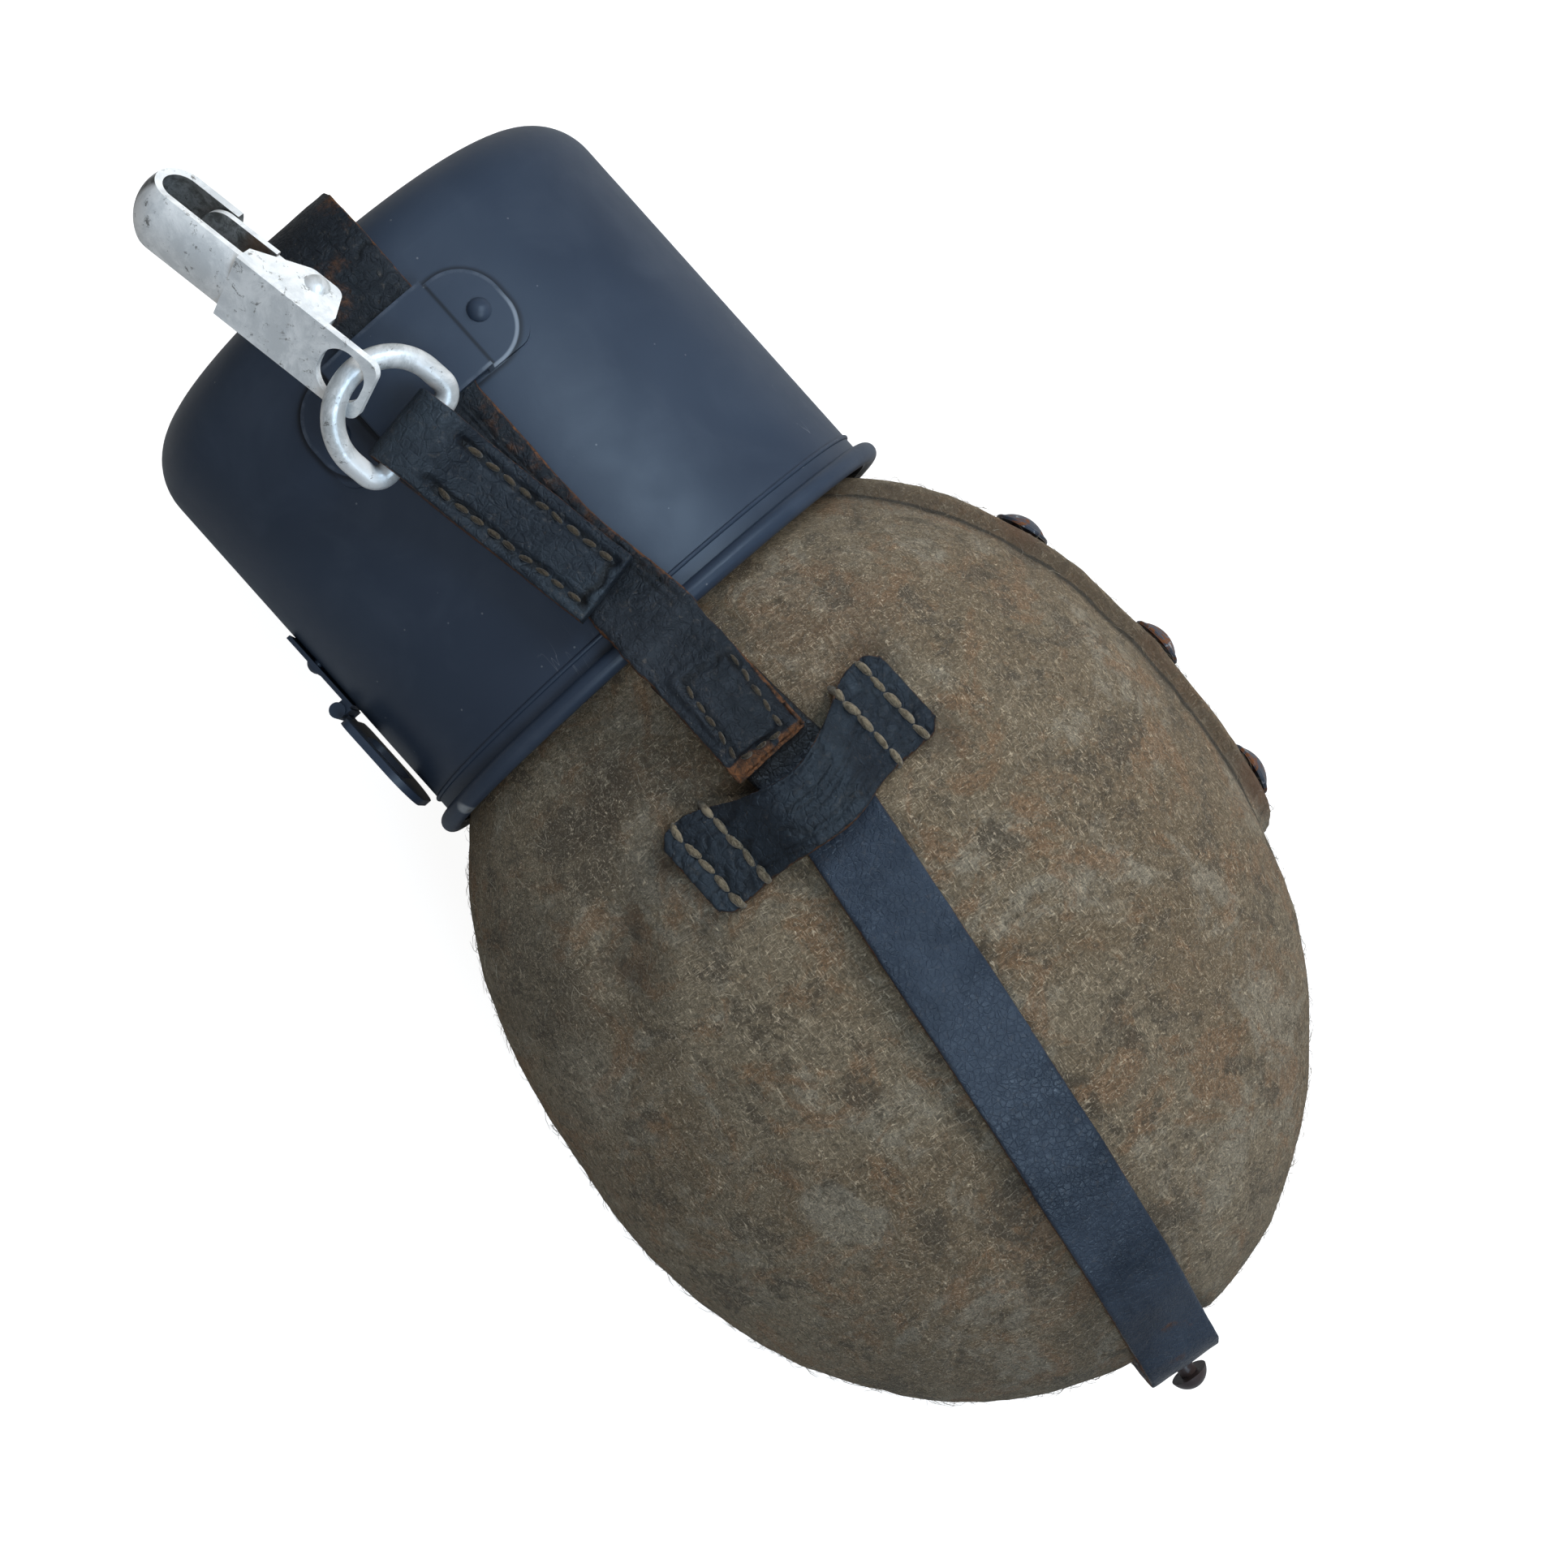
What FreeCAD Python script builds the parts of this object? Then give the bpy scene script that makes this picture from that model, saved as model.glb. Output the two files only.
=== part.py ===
import FreeCAD, Part

import math
import os

V = FreeCAD.Vector

# A wartime field canteen lying on its back: an oval aluminium flask in a felt cover, with its drinking
# cup turned over the neck, a leather harness round both, and a snap hook on a ring for the belt.
# Millimetres. X runs across the flask, Y along it from the rounded bottom to the cup, Z up from the ground.

# Flask
flask_half_width = 67.8
flask_half_depth = 37.9
flask_lower_height = 81.3
flask_upper_height = 86.3
shoulder_fullness = 2.345
flask_wall = 1.0
neck_radius = 14.0
neck_height = 196.0
neck_root_radius = 21.0
neck_root_height = 160.0

# Screw cap
cap_radius = 18.0
cap_height = 18.0
cap_wall = 1.4
cap_grip_radius = 1.1
cap_grips = 24
gasket_thickness = 2.0
thread_clearance = 0.5

# Felt cover
felt_thickness = 3.2
neck_opening_radius = 22.5
flap_thickness = 3.3
flap_front_reach = 8.5
flap_back_reach = -24.0
flap_tip_height = 65.0
flap_top_height = 166.0
slit_width = 0.8

# Snap fasteners on the flap
snap_heights = (137.5, 106.8, 77.8)
snap_cap_radius = 5.4
snap_cap_height = 2.8
snap_metal = 0.5
snap_post_radius = 1.6
snap_base_radius = 4.0
snap_base_thickness = 0.6

# Cup, turned over the neck and leaning a little to the left
cup_lean = 7.0
cup_slip = -2.5
rim_height = 159.1
cup_depth = 89.5
cup_rim_half_width = 50.4
cup_rim_half_depth = 34.9
cup_base_half_width = 50.0
cup_base_half_depth = 33.9
cup_base_rounding = 12.0
cup_wall = 0.9
rim_bead_radius = 1.9
rim_line_radius = 0.45
rim_line_gap = 6.6

# Strap bracket riveted on the cup
bracket_offset = -3.6
bracket_sheet = 1.0
bracket_length = 18.5
bracket_middle = rim_height + 61.5
tunnel_inner_width = 20.4
tunnel_inner_height = 3.5
ear_reach = 21.0
ear_rounding = 8.0
bracket_rivet_spread = 15.7
bracket_rivet_head = 2.1

# Folding cup handle
handle_middle_depth = 0.0
handle_pin_height = rim_height + 30.4
handle_pin_radius = 0.9
handle_pin_gap = 2.65
handle_width = 26.0
handle_length = 22.5
handle_strip = 5.5
handle_sheet = 1.4
handle_barrel_radius = 1.5
handle_barrel_length = 6.0
lug_centre_rise = 5.0
lug_width = 12.0
lug_length = 17.0
lug_sheet = 0.8
lug_rivet_head = 1.7

# Leather harness
strap_width = 15.0
strap_thickness = 2.5
strap_shift = -1.2
strap_lay = 0.2
loop_lay = 1.1
upper_strap_end_height = rim_height - 27.8
lower_strap_end_height = rim_height - 6.5
lower_strap_turn = -1.2
back_strap_turn = 0.8
base_arch = 3.0
upper_strap_slack = 0.35
tab_thickness = 2.1
tab_end_height = rim_height + 10.9
tab_shift = -3.5
tab_turn = 10.0
tab_length = 40.0
tab_width = 14.0
tab_fold_rise = 1.3
patch_thickness = 1.0
patch_start = upper_strap_end_height + 3.2
patch_length = 17.5
patch_width = 10.5

# Felt loops that hold the straps
loop_width = 15.0
loop_thickness = 1.9
loop_half_length = 23.0
loop_foot = 7.5
front_loop_height = 122.3
back_loop_height = 114.5

# Bottom stud
stud_shaft_radius = 1.7
stud_head_radius = 3.8
stud_head_thickness = 2.9
stud_neck_length = 3.2
stud_slot_radius = 2.8
stud_flange_radius = 5.0

# Ring in the tab
ring_wire_radius = 2.0
ring_straight = 14.2
ring_corner = 2.8
ring_reach = 15.5
ring_lift = 35.0
ring_play = 0.35

# Snap hook
hook_roll = 45.0
hook_sheet = 1.3
hook_width = 11.0
hook_gutter = 1.6
hook_box_width = 12.4
hook_box_depth = 9.0
hook_box_length = 17.5
hook_leg_end = 38.2
hook_nose_radius = 5.4
hook_return = 9.0
hook_hole_radius = 4.2
hook_hole_slot = 0.7
hook_hole_edge = 1.3
hook_end_rounding = 2.4
hook_pull = 1.0
gate_pin_along = 12.0
gate_pin_depth = 6.4
gate_pin_radius = 1.1
gate_width = 8.8
gate_tip_width = 10.2
gate_shoulder = 20.5
gate_sheet = 1.1
gate_clearance = 1.8
spring_sheet = 0.5
gate_rivet_head = 2.2

# Roller buckle on the back
buckle_wire_radius = 1.2
buckle_inner_width = 18.4
buckle_length = 13.0
heel_height = rim_height - 18.1
fold_thickness = 1.6
fold_length = 15.0
roller_radius = 2.0
roller_play = 0.06
prong_radius = 0.8
prong_play = 0.06
tail_end_height = heel_height - 38.0

running_gap = 0.3


# Curves of the flask and its cover

def felt_point(turn, grow=0.0, side=1):
    """Point (y, z) on the outline seen from the side: turn -90 is the bottom, 90 the top of the shoulder."""
    half_depth = flask_half_depth + felt_thickness + grow
    low = flask_lower_height + felt_thickness + grow
    high = flask_upper_height + felt_thickness + grow
    middle = flask_lower_height + felt_thickness
    a = math.radians(turn)
    if turn < 0:
        return (middle + low * math.sin(a), side * half_depth * math.cos(a))
    power = 2.0 / shoulder_fullness
    return (middle + high * math.sin(a) ** power, side * half_depth * math.cos(a) ** power)


def outline_share(height, grow):
    """How wide the oval is at a height, as a share of its greatest width."""
    middle = flask_lower_height + felt_thickness
    if height < middle:
        part = (middle - height) / (flask_lower_height + felt_thickness + grow)
        power = 2.0
    else:
        part = (height - middle) / (flask_upper_height + felt_thickness + grow)
        power = shoulder_fullness
    return max(1.0 - min(part, 1.0) ** power, 0.0) ** (1.0 / power)


def felt_depth(height, grow=0.0):
    return (flask_half_depth + felt_thickness + grow) * outline_share(height, grow)


def felt_width(height, grow=0.0):
    return (flask_half_width + felt_thickness + grow) * outline_share(height, grow)


def turn_at(height):
    """The turn of felt_point that lies at a height."""
    middle = flask_lower_height + felt_thickness
    if height < middle:
        return -math.degrees(math.asin(min((middle - height) / middle, 1.0)))
    part = (height - middle) / (flask_upper_height + felt_thickness)
    return math.degrees(math.asin(min(part, 1.0) ** (shoulder_fullness / 2.0)))


def oval_body(grow):
    """The flask's oval form, grown by a thickness: a turned outline flattened front to back."""
    wide = flask_half_width + grow
    deep = flask_half_depth + grow
    low = flask_lower_height + grow
    high = flask_upper_height + grow
    middle = flask_lower_height + felt_thickness
    power = 2.0 / shoulder_fullness
    outline = []
    for turn in (-90, -80, -68, -55, -42, -28, -14, 0):
        a = math.radians(turn)
        outline.append(V(wide * math.cos(a), middle + low * math.sin(a), 0))
    for turn in (10, 22, 34, 46, 57, 67, 76, 83, 90):
        a = math.radians(turn)
        outline.append(V(wide * max(math.cos(a), 0.0) ** power, middle + high * math.sin(a) ** power, 0))
    outline[0] = V(0, middle - low, 0)
    outline[-1] = V(0, middle + high, 0)
    curve = Part.BSplineCurve()
    curve.interpolate(Points=outline, InitialTangent=V(1, 0, 0), FinalTangent=V(-1, 0, 0))
    axis = Part.LineSegment(outline[-1], outline[0])
    face = Part.Face(Part.Wire([curve.toShape(), axis.toShape()]))
    turned = face.revolve(V(0, 0, 0), V(0, 1, 0), 360)
    flatten = FreeCAD.Matrix()
    flatten.scale(1, 1, deep / wide)
    return turned.transformGeometry(flatten)


def drum(radius, start, end, x=0.0, z=0.0):
    """A cylinder along Y."""
    return Part.makeCylinder(radius, end - start, V(x, start, z), V(0, 1, 0))


def slab(x0, x1, y0, y1, z0, z1):
    return Part.makeBox(x1 - x0, y1 - y0, z1 - z0, V(x0, y0, z0))


# Flask, cap and gasket

def neck_root(grow):
    """The hollow curve by which the shoulder runs up into the neck."""
    low = V(neck_root_radius + grow, neck_root_height, 0)
    high = V(neck_radius + grow, neck_root_height + 12.0, 0)
    waist = V(neck_radius + grow + 1.6, neck_root_height + 6.5, 0)
    side = Part.Arc(low, waist, high).toShape()
    rest = Part.makePolygon([high, V(0, high.y, 0), V(0, low.y, 0), low])
    return Part.Face(Part.Wire([side] + rest.Edges)).revolve(V(0, 0, 0), V(0, 1, 0), 360)


def flask_outside():
    body = oval_body(0.0)
    return body.fuse(neck_root(0.0)).fuse(drum(neck_radius, neck_root_height, neck_height))


def make_flask():
    hollow = oval_body(-flask_wall).fuse(neck_root(-flask_wall))
    hollow = hollow.fuse(drum(neck_radius - flask_wall, neck_root_height, neck_height + 1.0))
    return flask_outside().cut(hollow)


def make_cap():
    bore = neck_radius + thread_clearance
    top = neck_height + gasket_thickness + cap_wall
    bottom = top - cap_height
    cap = drum(cap_radius, bottom, top)
    cap = cap.makeFillet(1.2, [e for e in cap.Edges if e.BoundBox.YMin > top - 0.01])
    cap = cap.cut(drum(bore, bottom - 1.0, top - cap_wall))
    for n in range(cap_grips):
        a = 2 * math.pi * n / cap_grips
        reach = cap_radius + cap_grip_radius * 0.45
        groove = drum(cap_grip_radius, bottom + 2.0, top - 2.5, reach * math.cos(a), reach * math.sin(a))
        cap = cap.cut(groove)
    return cap


def make_gasket():
    return drum(neck_radius + thread_clearance - 0.1, neck_height + 0.05, neck_height + gasket_thickness)


# Felt cover with the snapped flap on its right side

def flap_outline():
    """The flap as seen from the right, a strip with a rounded lower tip."""
    radius = (flap_front_reach - flap_back_reach) / 2.0
    middle = (flap_front_reach + flap_back_reach) / 2.0
    low = flap_tip_height + radius
    top = flap_top_height
    front = V(0, low, flap_front_reach)
    back = V(0, low, flap_back_reach)
    tip = Part.Arc(front, V(0, flap_tip_height, middle), back).toShape()
    rest = Part.makePolygon([back, V(0, top, flap_back_reach), V(0, top, flap_front_reach), front])
    return Part.Face(Part.Wire([tip] + rest.Edges)).extrude(V(flask_half_width * 2, 0, 0))


def make_felt():
    inside = flask_outside()
    around = oval_body(felt_thickness)
    cover = around.cut(inside)
    cover = cover.cut(drum(neck_opening_radius, neck_root_height - 8.0, neck_height))
    slit = slab(flask_half_width * 0.3, flask_half_width * 1.3, flap_tip_height + 8.0, neck_height,
                -slit_width / 2, slit_width / 2)
    cover = cover.cut(slit)
    flap = oval_body(felt_thickness + flap_thickness).cut(around).common(flap_outline())
    cover = cover.fuse(flap)
    for hole in snap_holes() + [stud_seat()]:
        cover = cover.cut(hole)
    return cover


def snap_place(height):
    """Frame of a snap: its axis stands square on the flap's side."""
    x = felt_width(height)
    slope = (felt_width(height + 1.0) - felt_width(height - 1.0)) / 2.0
    lean = math.degrees(math.atan(-slope))
    return FreeCAD.Placement(V(x, height, 0), FreeCAD.Rotation(V(0, 0, 1), lean))


def placed(shape, place):
    moved = shape.copy()
    moved.Placement = place.multiply(moved.Placement)
    return moved


def snap_holes():
    holes = []
    for height in snap_heights:
        through = Part.makeCylinder(snap_post_radius + 0.3, felt_thickness + flap_thickness + 4.0,
                                    V(-felt_thickness - 2.0, 0, 0), V(1, 0, 0))
        seat = Part.makeCylinder(snap_base_radius + 0.2, 1.8, V(-felt_thickness - 0.8, 0, 0), V(1, 0, 0))
        holes.append(placed(through.fuse(seat), snap_place(height)))
    return holes


def make_snap_cap(height):
    """The domed cap on the flap, with its hollow shank through the felt."""
    face = flap_thickness + 0.05
    dome_radius = (snap_cap_radius ** 2 + snap_cap_height ** 2) / (2 * snap_cap_height)
    ball = Part.makeSphere(dome_radius, V(face + snap_cap_height - dome_radius, 0, 0))
    cap = ball.common(Part.makeCylinder(snap_cap_radius, snap_cap_height + 1.0, V(face, 0, 0), V(1, 0, 0)))
    rim = Part.makeTorus(snap_cap_radius - 0.4, 0.4, V(face + 0.4, 0, 0), V(1, 0, 0))
    shank = Part.makeCylinder(snap_post_radius + 0.2, flap_thickness - 0.4, V(face - flap_thickness + 0.5, 0, 0),
                              V(1, 0, 0))
    cap = cap.fuse(rim).fuse(shank)
    pocket = Part.makeCylinder(snap_post_radius - 0.5, flap_thickness, V(0, 0, 0), V(1, 0, 0))
    return placed(cap.cut(pocket), snap_place(height))


def make_snap_stud(height):
    """The stud half, riveted through the inner felt from behind."""
    base = Part.makeCylinder(snap_base_radius, snap_base_thickness, V(-felt_thickness + 0.3, 0, 0), V(1, 0, 0))
    post = Part.makeCylinder(snap_post_radius - 0.2, felt_thickness - 0.8, V(-felt_thickness + 0.5, 0, 0), V(1, 0, 0))
    nose = Part.makeCylinder(snap_post_radius - 0.7, 1.6, V(-0.3, 0, 0), V(1, 0, 0))
    return placed(base.fuse(post).fuse(nose), snap_place(height))


# Cup. Its pieces are drawn upright over the neck and then leaned together.

def cup_frame():
    """The cup's lean about the middle of its rim, and its small slip to the left."""
    pivot = V(0, rim_height, 0)
    return FreeCAD.Placement(V(cup_slip, 0, 0), FreeCAD.Rotation(V(0, 0, 1), cup_lean), pivot)


def leaned(shape):
    return placed(shape, cup_frame())


def oval_wire(half_width, half_depth, height):
    """An oval across Y."""
    ellipse = Part.Ellipse(V(0, height, 0), half_width, half_depth)
    ellipse.Axis = V(0, 1, 0)
    ellipse.XAxis = V(1, 0, 0)
    return Part.Wire([ellipse.toShape()])


def cup_form(grow, start=0.0):
    """The cup's outside, grown by a thickness, from start above the rim to the rounded base."""
    end = rim_height + cup_depth + grow
    low = oval_wire(cup_rim_half_width + grow, cup_rim_half_depth + grow, rim_height + start)
    high = oval_wire(cup_base_half_width + grow, cup_base_half_depth + grow, end)
    form = Part.makeLoft([low, high], True, True)
    top = [e for e in form.Edges if e.BoundBox.YMin > end - 0.01]
    return form.makeFillet(cup_base_rounding + grow, top)


def cup_front(height, grow=0.0):
    """Depth of the cup's front wall at a height."""
    share = (height - rim_height) / cup_depth
    return cup_rim_half_depth + (cup_base_half_depth - cup_rim_half_depth) * share + grow


def cup_side(height, grow=0.0):
    share = (height - rim_height) / cup_depth
    return cup_rim_half_width + (cup_base_half_width - cup_rim_half_width) * share + grow


def swept_bead(grow, height, radius):
    path = oval_wire(cup_side(height, grow), cup_front(height, grow), height)
    start = V(cup_side(height, grow), height, 0)
    ring = Part.Wire([Part.Circle(start, V(0, 0, 1), radius).toShape()])
    return path.makePipeShell([ring], True, True)


def make_cup():
    shell = cup_form(0.0, 0.6).cut(cup_form(-cup_wall, -2.0))
    bead = swept_bead(rim_bead_radius - cup_wall, rim_height + rim_bead_radius, rim_bead_radius)
    line = swept_bead(0.0, rim_height + rim_line_gap, rim_line_radius)
    cup = shell.fuse(bead).fuse(line)
    for hole in cup_rivet_holes():
        cup = cup.cut(hole)
    return cup


def bracket_rivet_place(side):
    """Frame of a bracket rivet, square on the cup's front."""
    x = bracket_offset + side * bracket_rivet_spread
    share = x / cup_side(bracket_middle)
    z = cup_front(bracket_middle) * math.sqrt(1 - share ** 2)
    slope = cup_front(bracket_middle) ** 2 * x / (cup_side(bracket_middle) ** 2 * z)
    return FreeCAD.Placement(V(x, bracket_middle, z), FreeCAD.Rotation(V(0, 1, 0), math.degrees(math.atan(slope))))


def lug_rivet_places():
    """Frames of the two rivets that hold the handle's lug, square on the cup's narrow side."""
    spread = lug_length / 2 - 3.0
    x = -cup_side(handle_pin_height)
    turn = FreeCAD.Rotation(V(0, 1, 0), -90)
    centre = handle_pin_height + lug_centre_rise
    return [FreeCAD.Placement(V(x, centre + spread * 0.75, handle_middle_depth + s * 3.6), turn) for s in (-1, 1)]


def cup_rivet_holes():
    holes = []
    for side in (-1, 1):
        bore = Part.makeCylinder(bracket_rivet_head * 0.5, 6.0, V(0, 0, -4.0))
        holes.append(placed(bore, bracket_rivet_place(side)))
    for place in lug_rivet_places():
        holes.append(placed(Part.makeCylinder(lug_rivet_head * 0.5, 6.0, V(0, 0, -4.0)), place))
    return holes


def rivet(head, grip):
    """A round-headed rivet through a grip of metal, its closed end flattened inside."""
    dome = Part.makeSphere(head * 1.2, V(0, 0, 0)).common(Part.makeCylinder(head, head, V(0, 0, head * 0.66)))
    dome.translate(V(0, 0, grip - head * 0.66))
    shank = Part.makeCylinder(head * 0.5 - 0.02, grip + cup_wall + 1.0, V(0, 0, -cup_wall - 0.9))
    tail = Part.makeCylinder(head * 0.75, 0.6, V(0, 0, -cup_wall - 1.3))
    return dome.fuse(shank).fuse(tail)


def make_bracket():
    """The bracket: two ears on the cup's wall and a raised tunnel between them for the strap."""
    low = bracket_middle - bracket_length / 2
    high = bracket_middle + bracket_length / 2
    left = bracket_offset - ear_reach
    right = bracket_offset + ear_reach
    plan = slab(left, right, low, high, 0, 60)
    outer = [e for e in plan.Edges if abs(e.BoundBox.ZLength - 60) < 0.01]
    upper = [e for e in outer if e.BoundBox.YMin > bracket_middle]
    lower = [e for e in outer if e.BoundBox.YMin < bracket_middle]
    plan = plan.makeFillet(ear_rounding, upper).copy()
    lower = [e for e in plan.Edges if abs(e.BoundBox.ZLength - 60) < 0.01 and e.BoundBox.YMax < low + 0.01]
    plan = plan.makeFillet(ear_rounding * 0.45, lower)
    half = tunnel_inner_width / 2
    cup = cup_form(0.02)
    ears = cup_form(bracket_sheet).cut(cup).common(plan)
    room = slab(bracket_offset - half, bracket_offset + half, low - 1, high + 1, 0, 60)
    block = slab(bracket_offset - half - bracket_sheet, bracket_offset + half + bracket_sheet, low, high, 0, 60)
    roof = cup_form(tunnel_inner_height + bracket_sheet).common(block)
    roof = roof.cut(cup).cut(cup_form(tunnel_inner_height).common(room))
    bracket = ears.cut(room).fuse(roof)
    for side in (-1, 1):
        bore = Part.makeCylinder(bracket_rivet_head * 0.5, 8.0, V(0, 0, -2.0))
        bracket = bracket.cut(placed(bore, bracket_rivet_place(side)))
    return bracket.removeSplitter()


# Folding handle on the cup's left side

def handle_axis():
    """Where the handle's pin stands, beside the cup's narrow side."""
    return V(-cup_side(handle_pin_height) - handle_pin_gap, handle_pin_height, handle_middle_depth)


def make_lug():
    """A plate riveted to the cup's side whose lower end curls round the pin."""
    axis = handle_axis()
    wall = cup_side(handle_pin_height)
    half = lug_width / 2
    bottom = axis.y - 1.0
    plate = slab(-wall - lug_sheet, -wall, bottom, bottom + lug_length, axis.z - half, axis.z + half)
    plate = plate.fuse(slab(axis.x, -wall - lug_sheet + 0.1, axis.y - handle_pin_radius - 0.6, axis.y + 1.0,
                            axis.z - half, axis.z + half))
    curl = Part.makeCylinder(handle_barrel_radius, lug_width, V(axis.x, axis.y, axis.z - half))
    gap = Part.makeCylinder(handle_barrel_radius + running_gap, handle_barrel_length + 2 * running_gap,
                            V(axis.x, axis.y, axis.z - handle_barrel_length / 2 - running_gap))
    lug = plate.fuse(curl).cut(gap)
    lug = lug.cut(Part.makeCylinder(handle_pin_radius + 0.02, lug_width + 2, V(axis.x, axis.y, axis.z - half - 1)))
    for place in lug_rivet_places():
        lug = lug.cut(placed(Part.makeCylinder(lug_rivet_head * 0.5, 8.0, V(0, 0, -4.0)), place))
    return lug.removeSplitter()


def make_handle_pin():
    axis = handle_axis()
    half = lug_width / 2 + 0.6
    pin = Part.makeCylinder(handle_pin_radius, 2 * half, V(axis.x, axis.y, axis.z - half))
    for end in (-1, 1):
        head = Part.makeCylinder(handle_pin_radius + 0.6, 0.55, V(axis.x, axis.y, axis.z + end * half - 0.275))
        pin = pin.fuse(head)
    return pin


def make_handle():
    """The folded handle: a flat strip bent to a loop, hung on the pin by its barrel."""
    axis = handle_axis()
    half = handle_width / 2
    outer = axis.x - handle_sheet / 2
    far = axis.y - handle_length
    shape = slab(outer, outer + handle_sheet, far, axis.y - handle_barrel_radius - 1.2, axis.z - half, axis.z + half)
    corners = [e for e in shape.Edges if abs(e.BoundBox.XLength - handle_sheet) < 0.01]
    shape = shape.makeFillet(min(half, handle_length / 2) * 0.7, [e for e in corners if e.BoundBox.YMax < far + 0.01])
    corners = [e for e in shape.Edges if abs(e.BoundBox.XLength - handle_sheet) < 0.01
               and e.BoundBox.YMin > far + handle_length / 2 and e.BoundBox.YLength < 0.01]
    shape = shape.makeFillet(2.5, corners)
    hole = slab(outer - 1, outer + handle_sheet + 1, far + handle_strip, axis.y - handle_barrel_radius - handle_strip,
                axis.z - half + handle_strip, axis.z + half - handle_strip)
    corners = [e for e in hole.Edges if abs(e.BoundBox.XLength - handle_sheet - 2) < 0.01]
    shape = shape.cut(hole.makeFillet(3.0, corners))
    tongue_half = handle_barrel_length / 2
    tongue = slab(outer, outer + handle_sheet, axis.y - handle_barrel_radius - 2.0, axis.y,
                  axis.z - tongue_half, axis.z + tongue_half)
    barrel = Part.makeCylinder(handle_barrel_radius, handle_barrel_length,
                               V(axis.x, axis.y, axis.z - tongue_half))
    handle = shape.fuse(tongue).fuse(barrel)
    bore = Part.makeCylinder(handle_pin_radius + 0.06, handle_barrel_length + 2,
                             V(axis.x, axis.y, axis.z - tongue_half - 1))
    return handle.cut(bore).removeSplitter()


# Leather

def ribbon(route, thickness, width, x=0.0):
    """A flat strip that follows a route of (y, z) points along its middle."""
    curve = Part.BSplineCurve()
    curve.interpolate([V(x - width / 2, y, z) for y, z in route])
    first, last = curve.FirstParameter, curve.LastParameter
    steps = 4 * (len(route) - 1)
    sides = ([], [])
    for n in range(steps + 1):
        u = first + (last - first) * n / steps
        point = curve.value(u)
        along = curve.tangent(u)[0]
        across = V(0, -along.z, along.y) * (thickness / 2)
        sides[0].append(point + across)
        sides[1].append(point - across)
    edges = []
    for side in sides:
        edge = Part.BSplineCurve()
        edge.interpolate(side)
        edges.append(edge)
    wire = Part.Wire([edges[0].toShape(), Part.LineSegment(sides[0][-1], sides[1][-1]).toShape(),
                      edges[1].toShape(), Part.LineSegment(sides[1][0], sides[0][0]).toShape()])
    return Part.Face(wire).extrude(V(width, 0, 0))


def round_bend(y, z, radius):
    """Points of a half turn round a bar, from below it to above."""
    turns = [math.radians(a) for a in (-90, -60, -30, 0, 30, 60, 90)]
    return [(y + radius * math.cos(a), z + radius * math.sin(a)) for a in turns]


def on_felt(height, lift, side=1):
    """(y, z) a lift above the felt at a height, along its middle line."""
    turn = turn_at(height)
    y0, z0 = felt_point(turn - 0.5, 0.0, side)
    y1, z1 = felt_point(turn + 0.5, 0.0, side)
    y, z = felt_point(turn, 0.0, side)
    length = math.hypot(y1 - y0, z1 - z0)
    return (y - side * (z1 - z0) / length * lift, z + side * (y1 - y0) / length * lift)


def under_bottom(z, lift):
    """(y, z) a lift below the rounded bottom, at a depth z from the middle."""
    share = z / (flask_half_depth + felt_thickness)
    low = flask_lower_height + felt_thickness
    y = low * (1 - math.sqrt(1 - share ** 2))
    slope = low * share / (flask_half_depth + felt_thickness) / math.sqrt(1 - share ** 2)
    length = math.hypot(1.0, slope)
    return (y - lift / length, z + slope * lift / length)


def upper_middle(height):
    """Height above the middle plane of the upper strap's middle, from its end to the rim."""
    end = felt_depth(upper_strap_end_height) + 1.5 * strap_thickness + 2.5 * strap_lay + 0.2
    rim = cup_front(rim_height, 2 * rim_bead_radius - cup_wall) + strap_thickness / 2 + strap_lay
    share = (height - upper_strap_end_height) / (rim_height + rim_bead_radius - upper_strap_end_height)
    return end + (rim - end) * share + 0.5 * math.sin(math.pi * share)


def upper_strap_route():
    """From the end on the felt, over the rim, through the bracket, over the base and down to the buckle."""
    lay = strap_lay + strap_thickness / 2
    base = rim_height + cup_depth
    low = bracket_middle - bracket_length / 2
    high = bracket_middle + bracket_length / 2
    rim = rim_height + rim_bead_radius
    climb = rim - upper_strap_end_height
    heights = [upper_strap_end_height + climb * share for share in (0.0, 0.3, 0.63, 1.0)]
    route = [(h, upper_middle(h)) for h in heights]
    route += [(rim + 7.0, cup_front(rim + 7.0) + lay + 1.0)]
    bed = lay + upper_strap_slack
    route += [(h, cup_front(h) + bed) for h in (rim + 15.0, rim + 32.0, low - 2.0, bracket_middle, high + 2.0)]
    route += [(base - 6.0, cup_front(base) + lay + base_arch * 0.6)]
    route += [(base + 1.6, cup_front(base) + lay - 1.2), (base + 4.6, cup_front(base) - 7.5)]
    route += [(base + 3.4, cup_front(base) - 18.0), (base + lay + 0.6, 8.0), (base + lay + 0.1, 0.0)]
    route += [(base + lay + 0.1, -8.0), (base + lay + 0.6, -16.0)]
    route += [(base + lay + 0.6, -cup_front(base) + 9.0), (base - 1.5, -cup_front(base) + 0.8)]
    route += [(base - 10.0, -cup_front(base) - lay - 0.5)]
    route += [(h, -cup_front(h) - lay - 0.1) for h in (base - 30.0, rim + 34.0, rim + 14.0)]
    route += [(rim + 6.0, -cup_front(rim + 6.0) - lay - 1.6), (rim, -upper_middle(rim))]
    return route + tail_route()


# Roller buckle on the back of the flask

def heel_depth():
    """Depth of the buckle's heel bar: the skived fold round it lies on the felt."""
    return -(felt_depth(heel_height - 3.0) + strap_lay + fold_thickness + buckle_wire_radius + 0.1)


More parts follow.
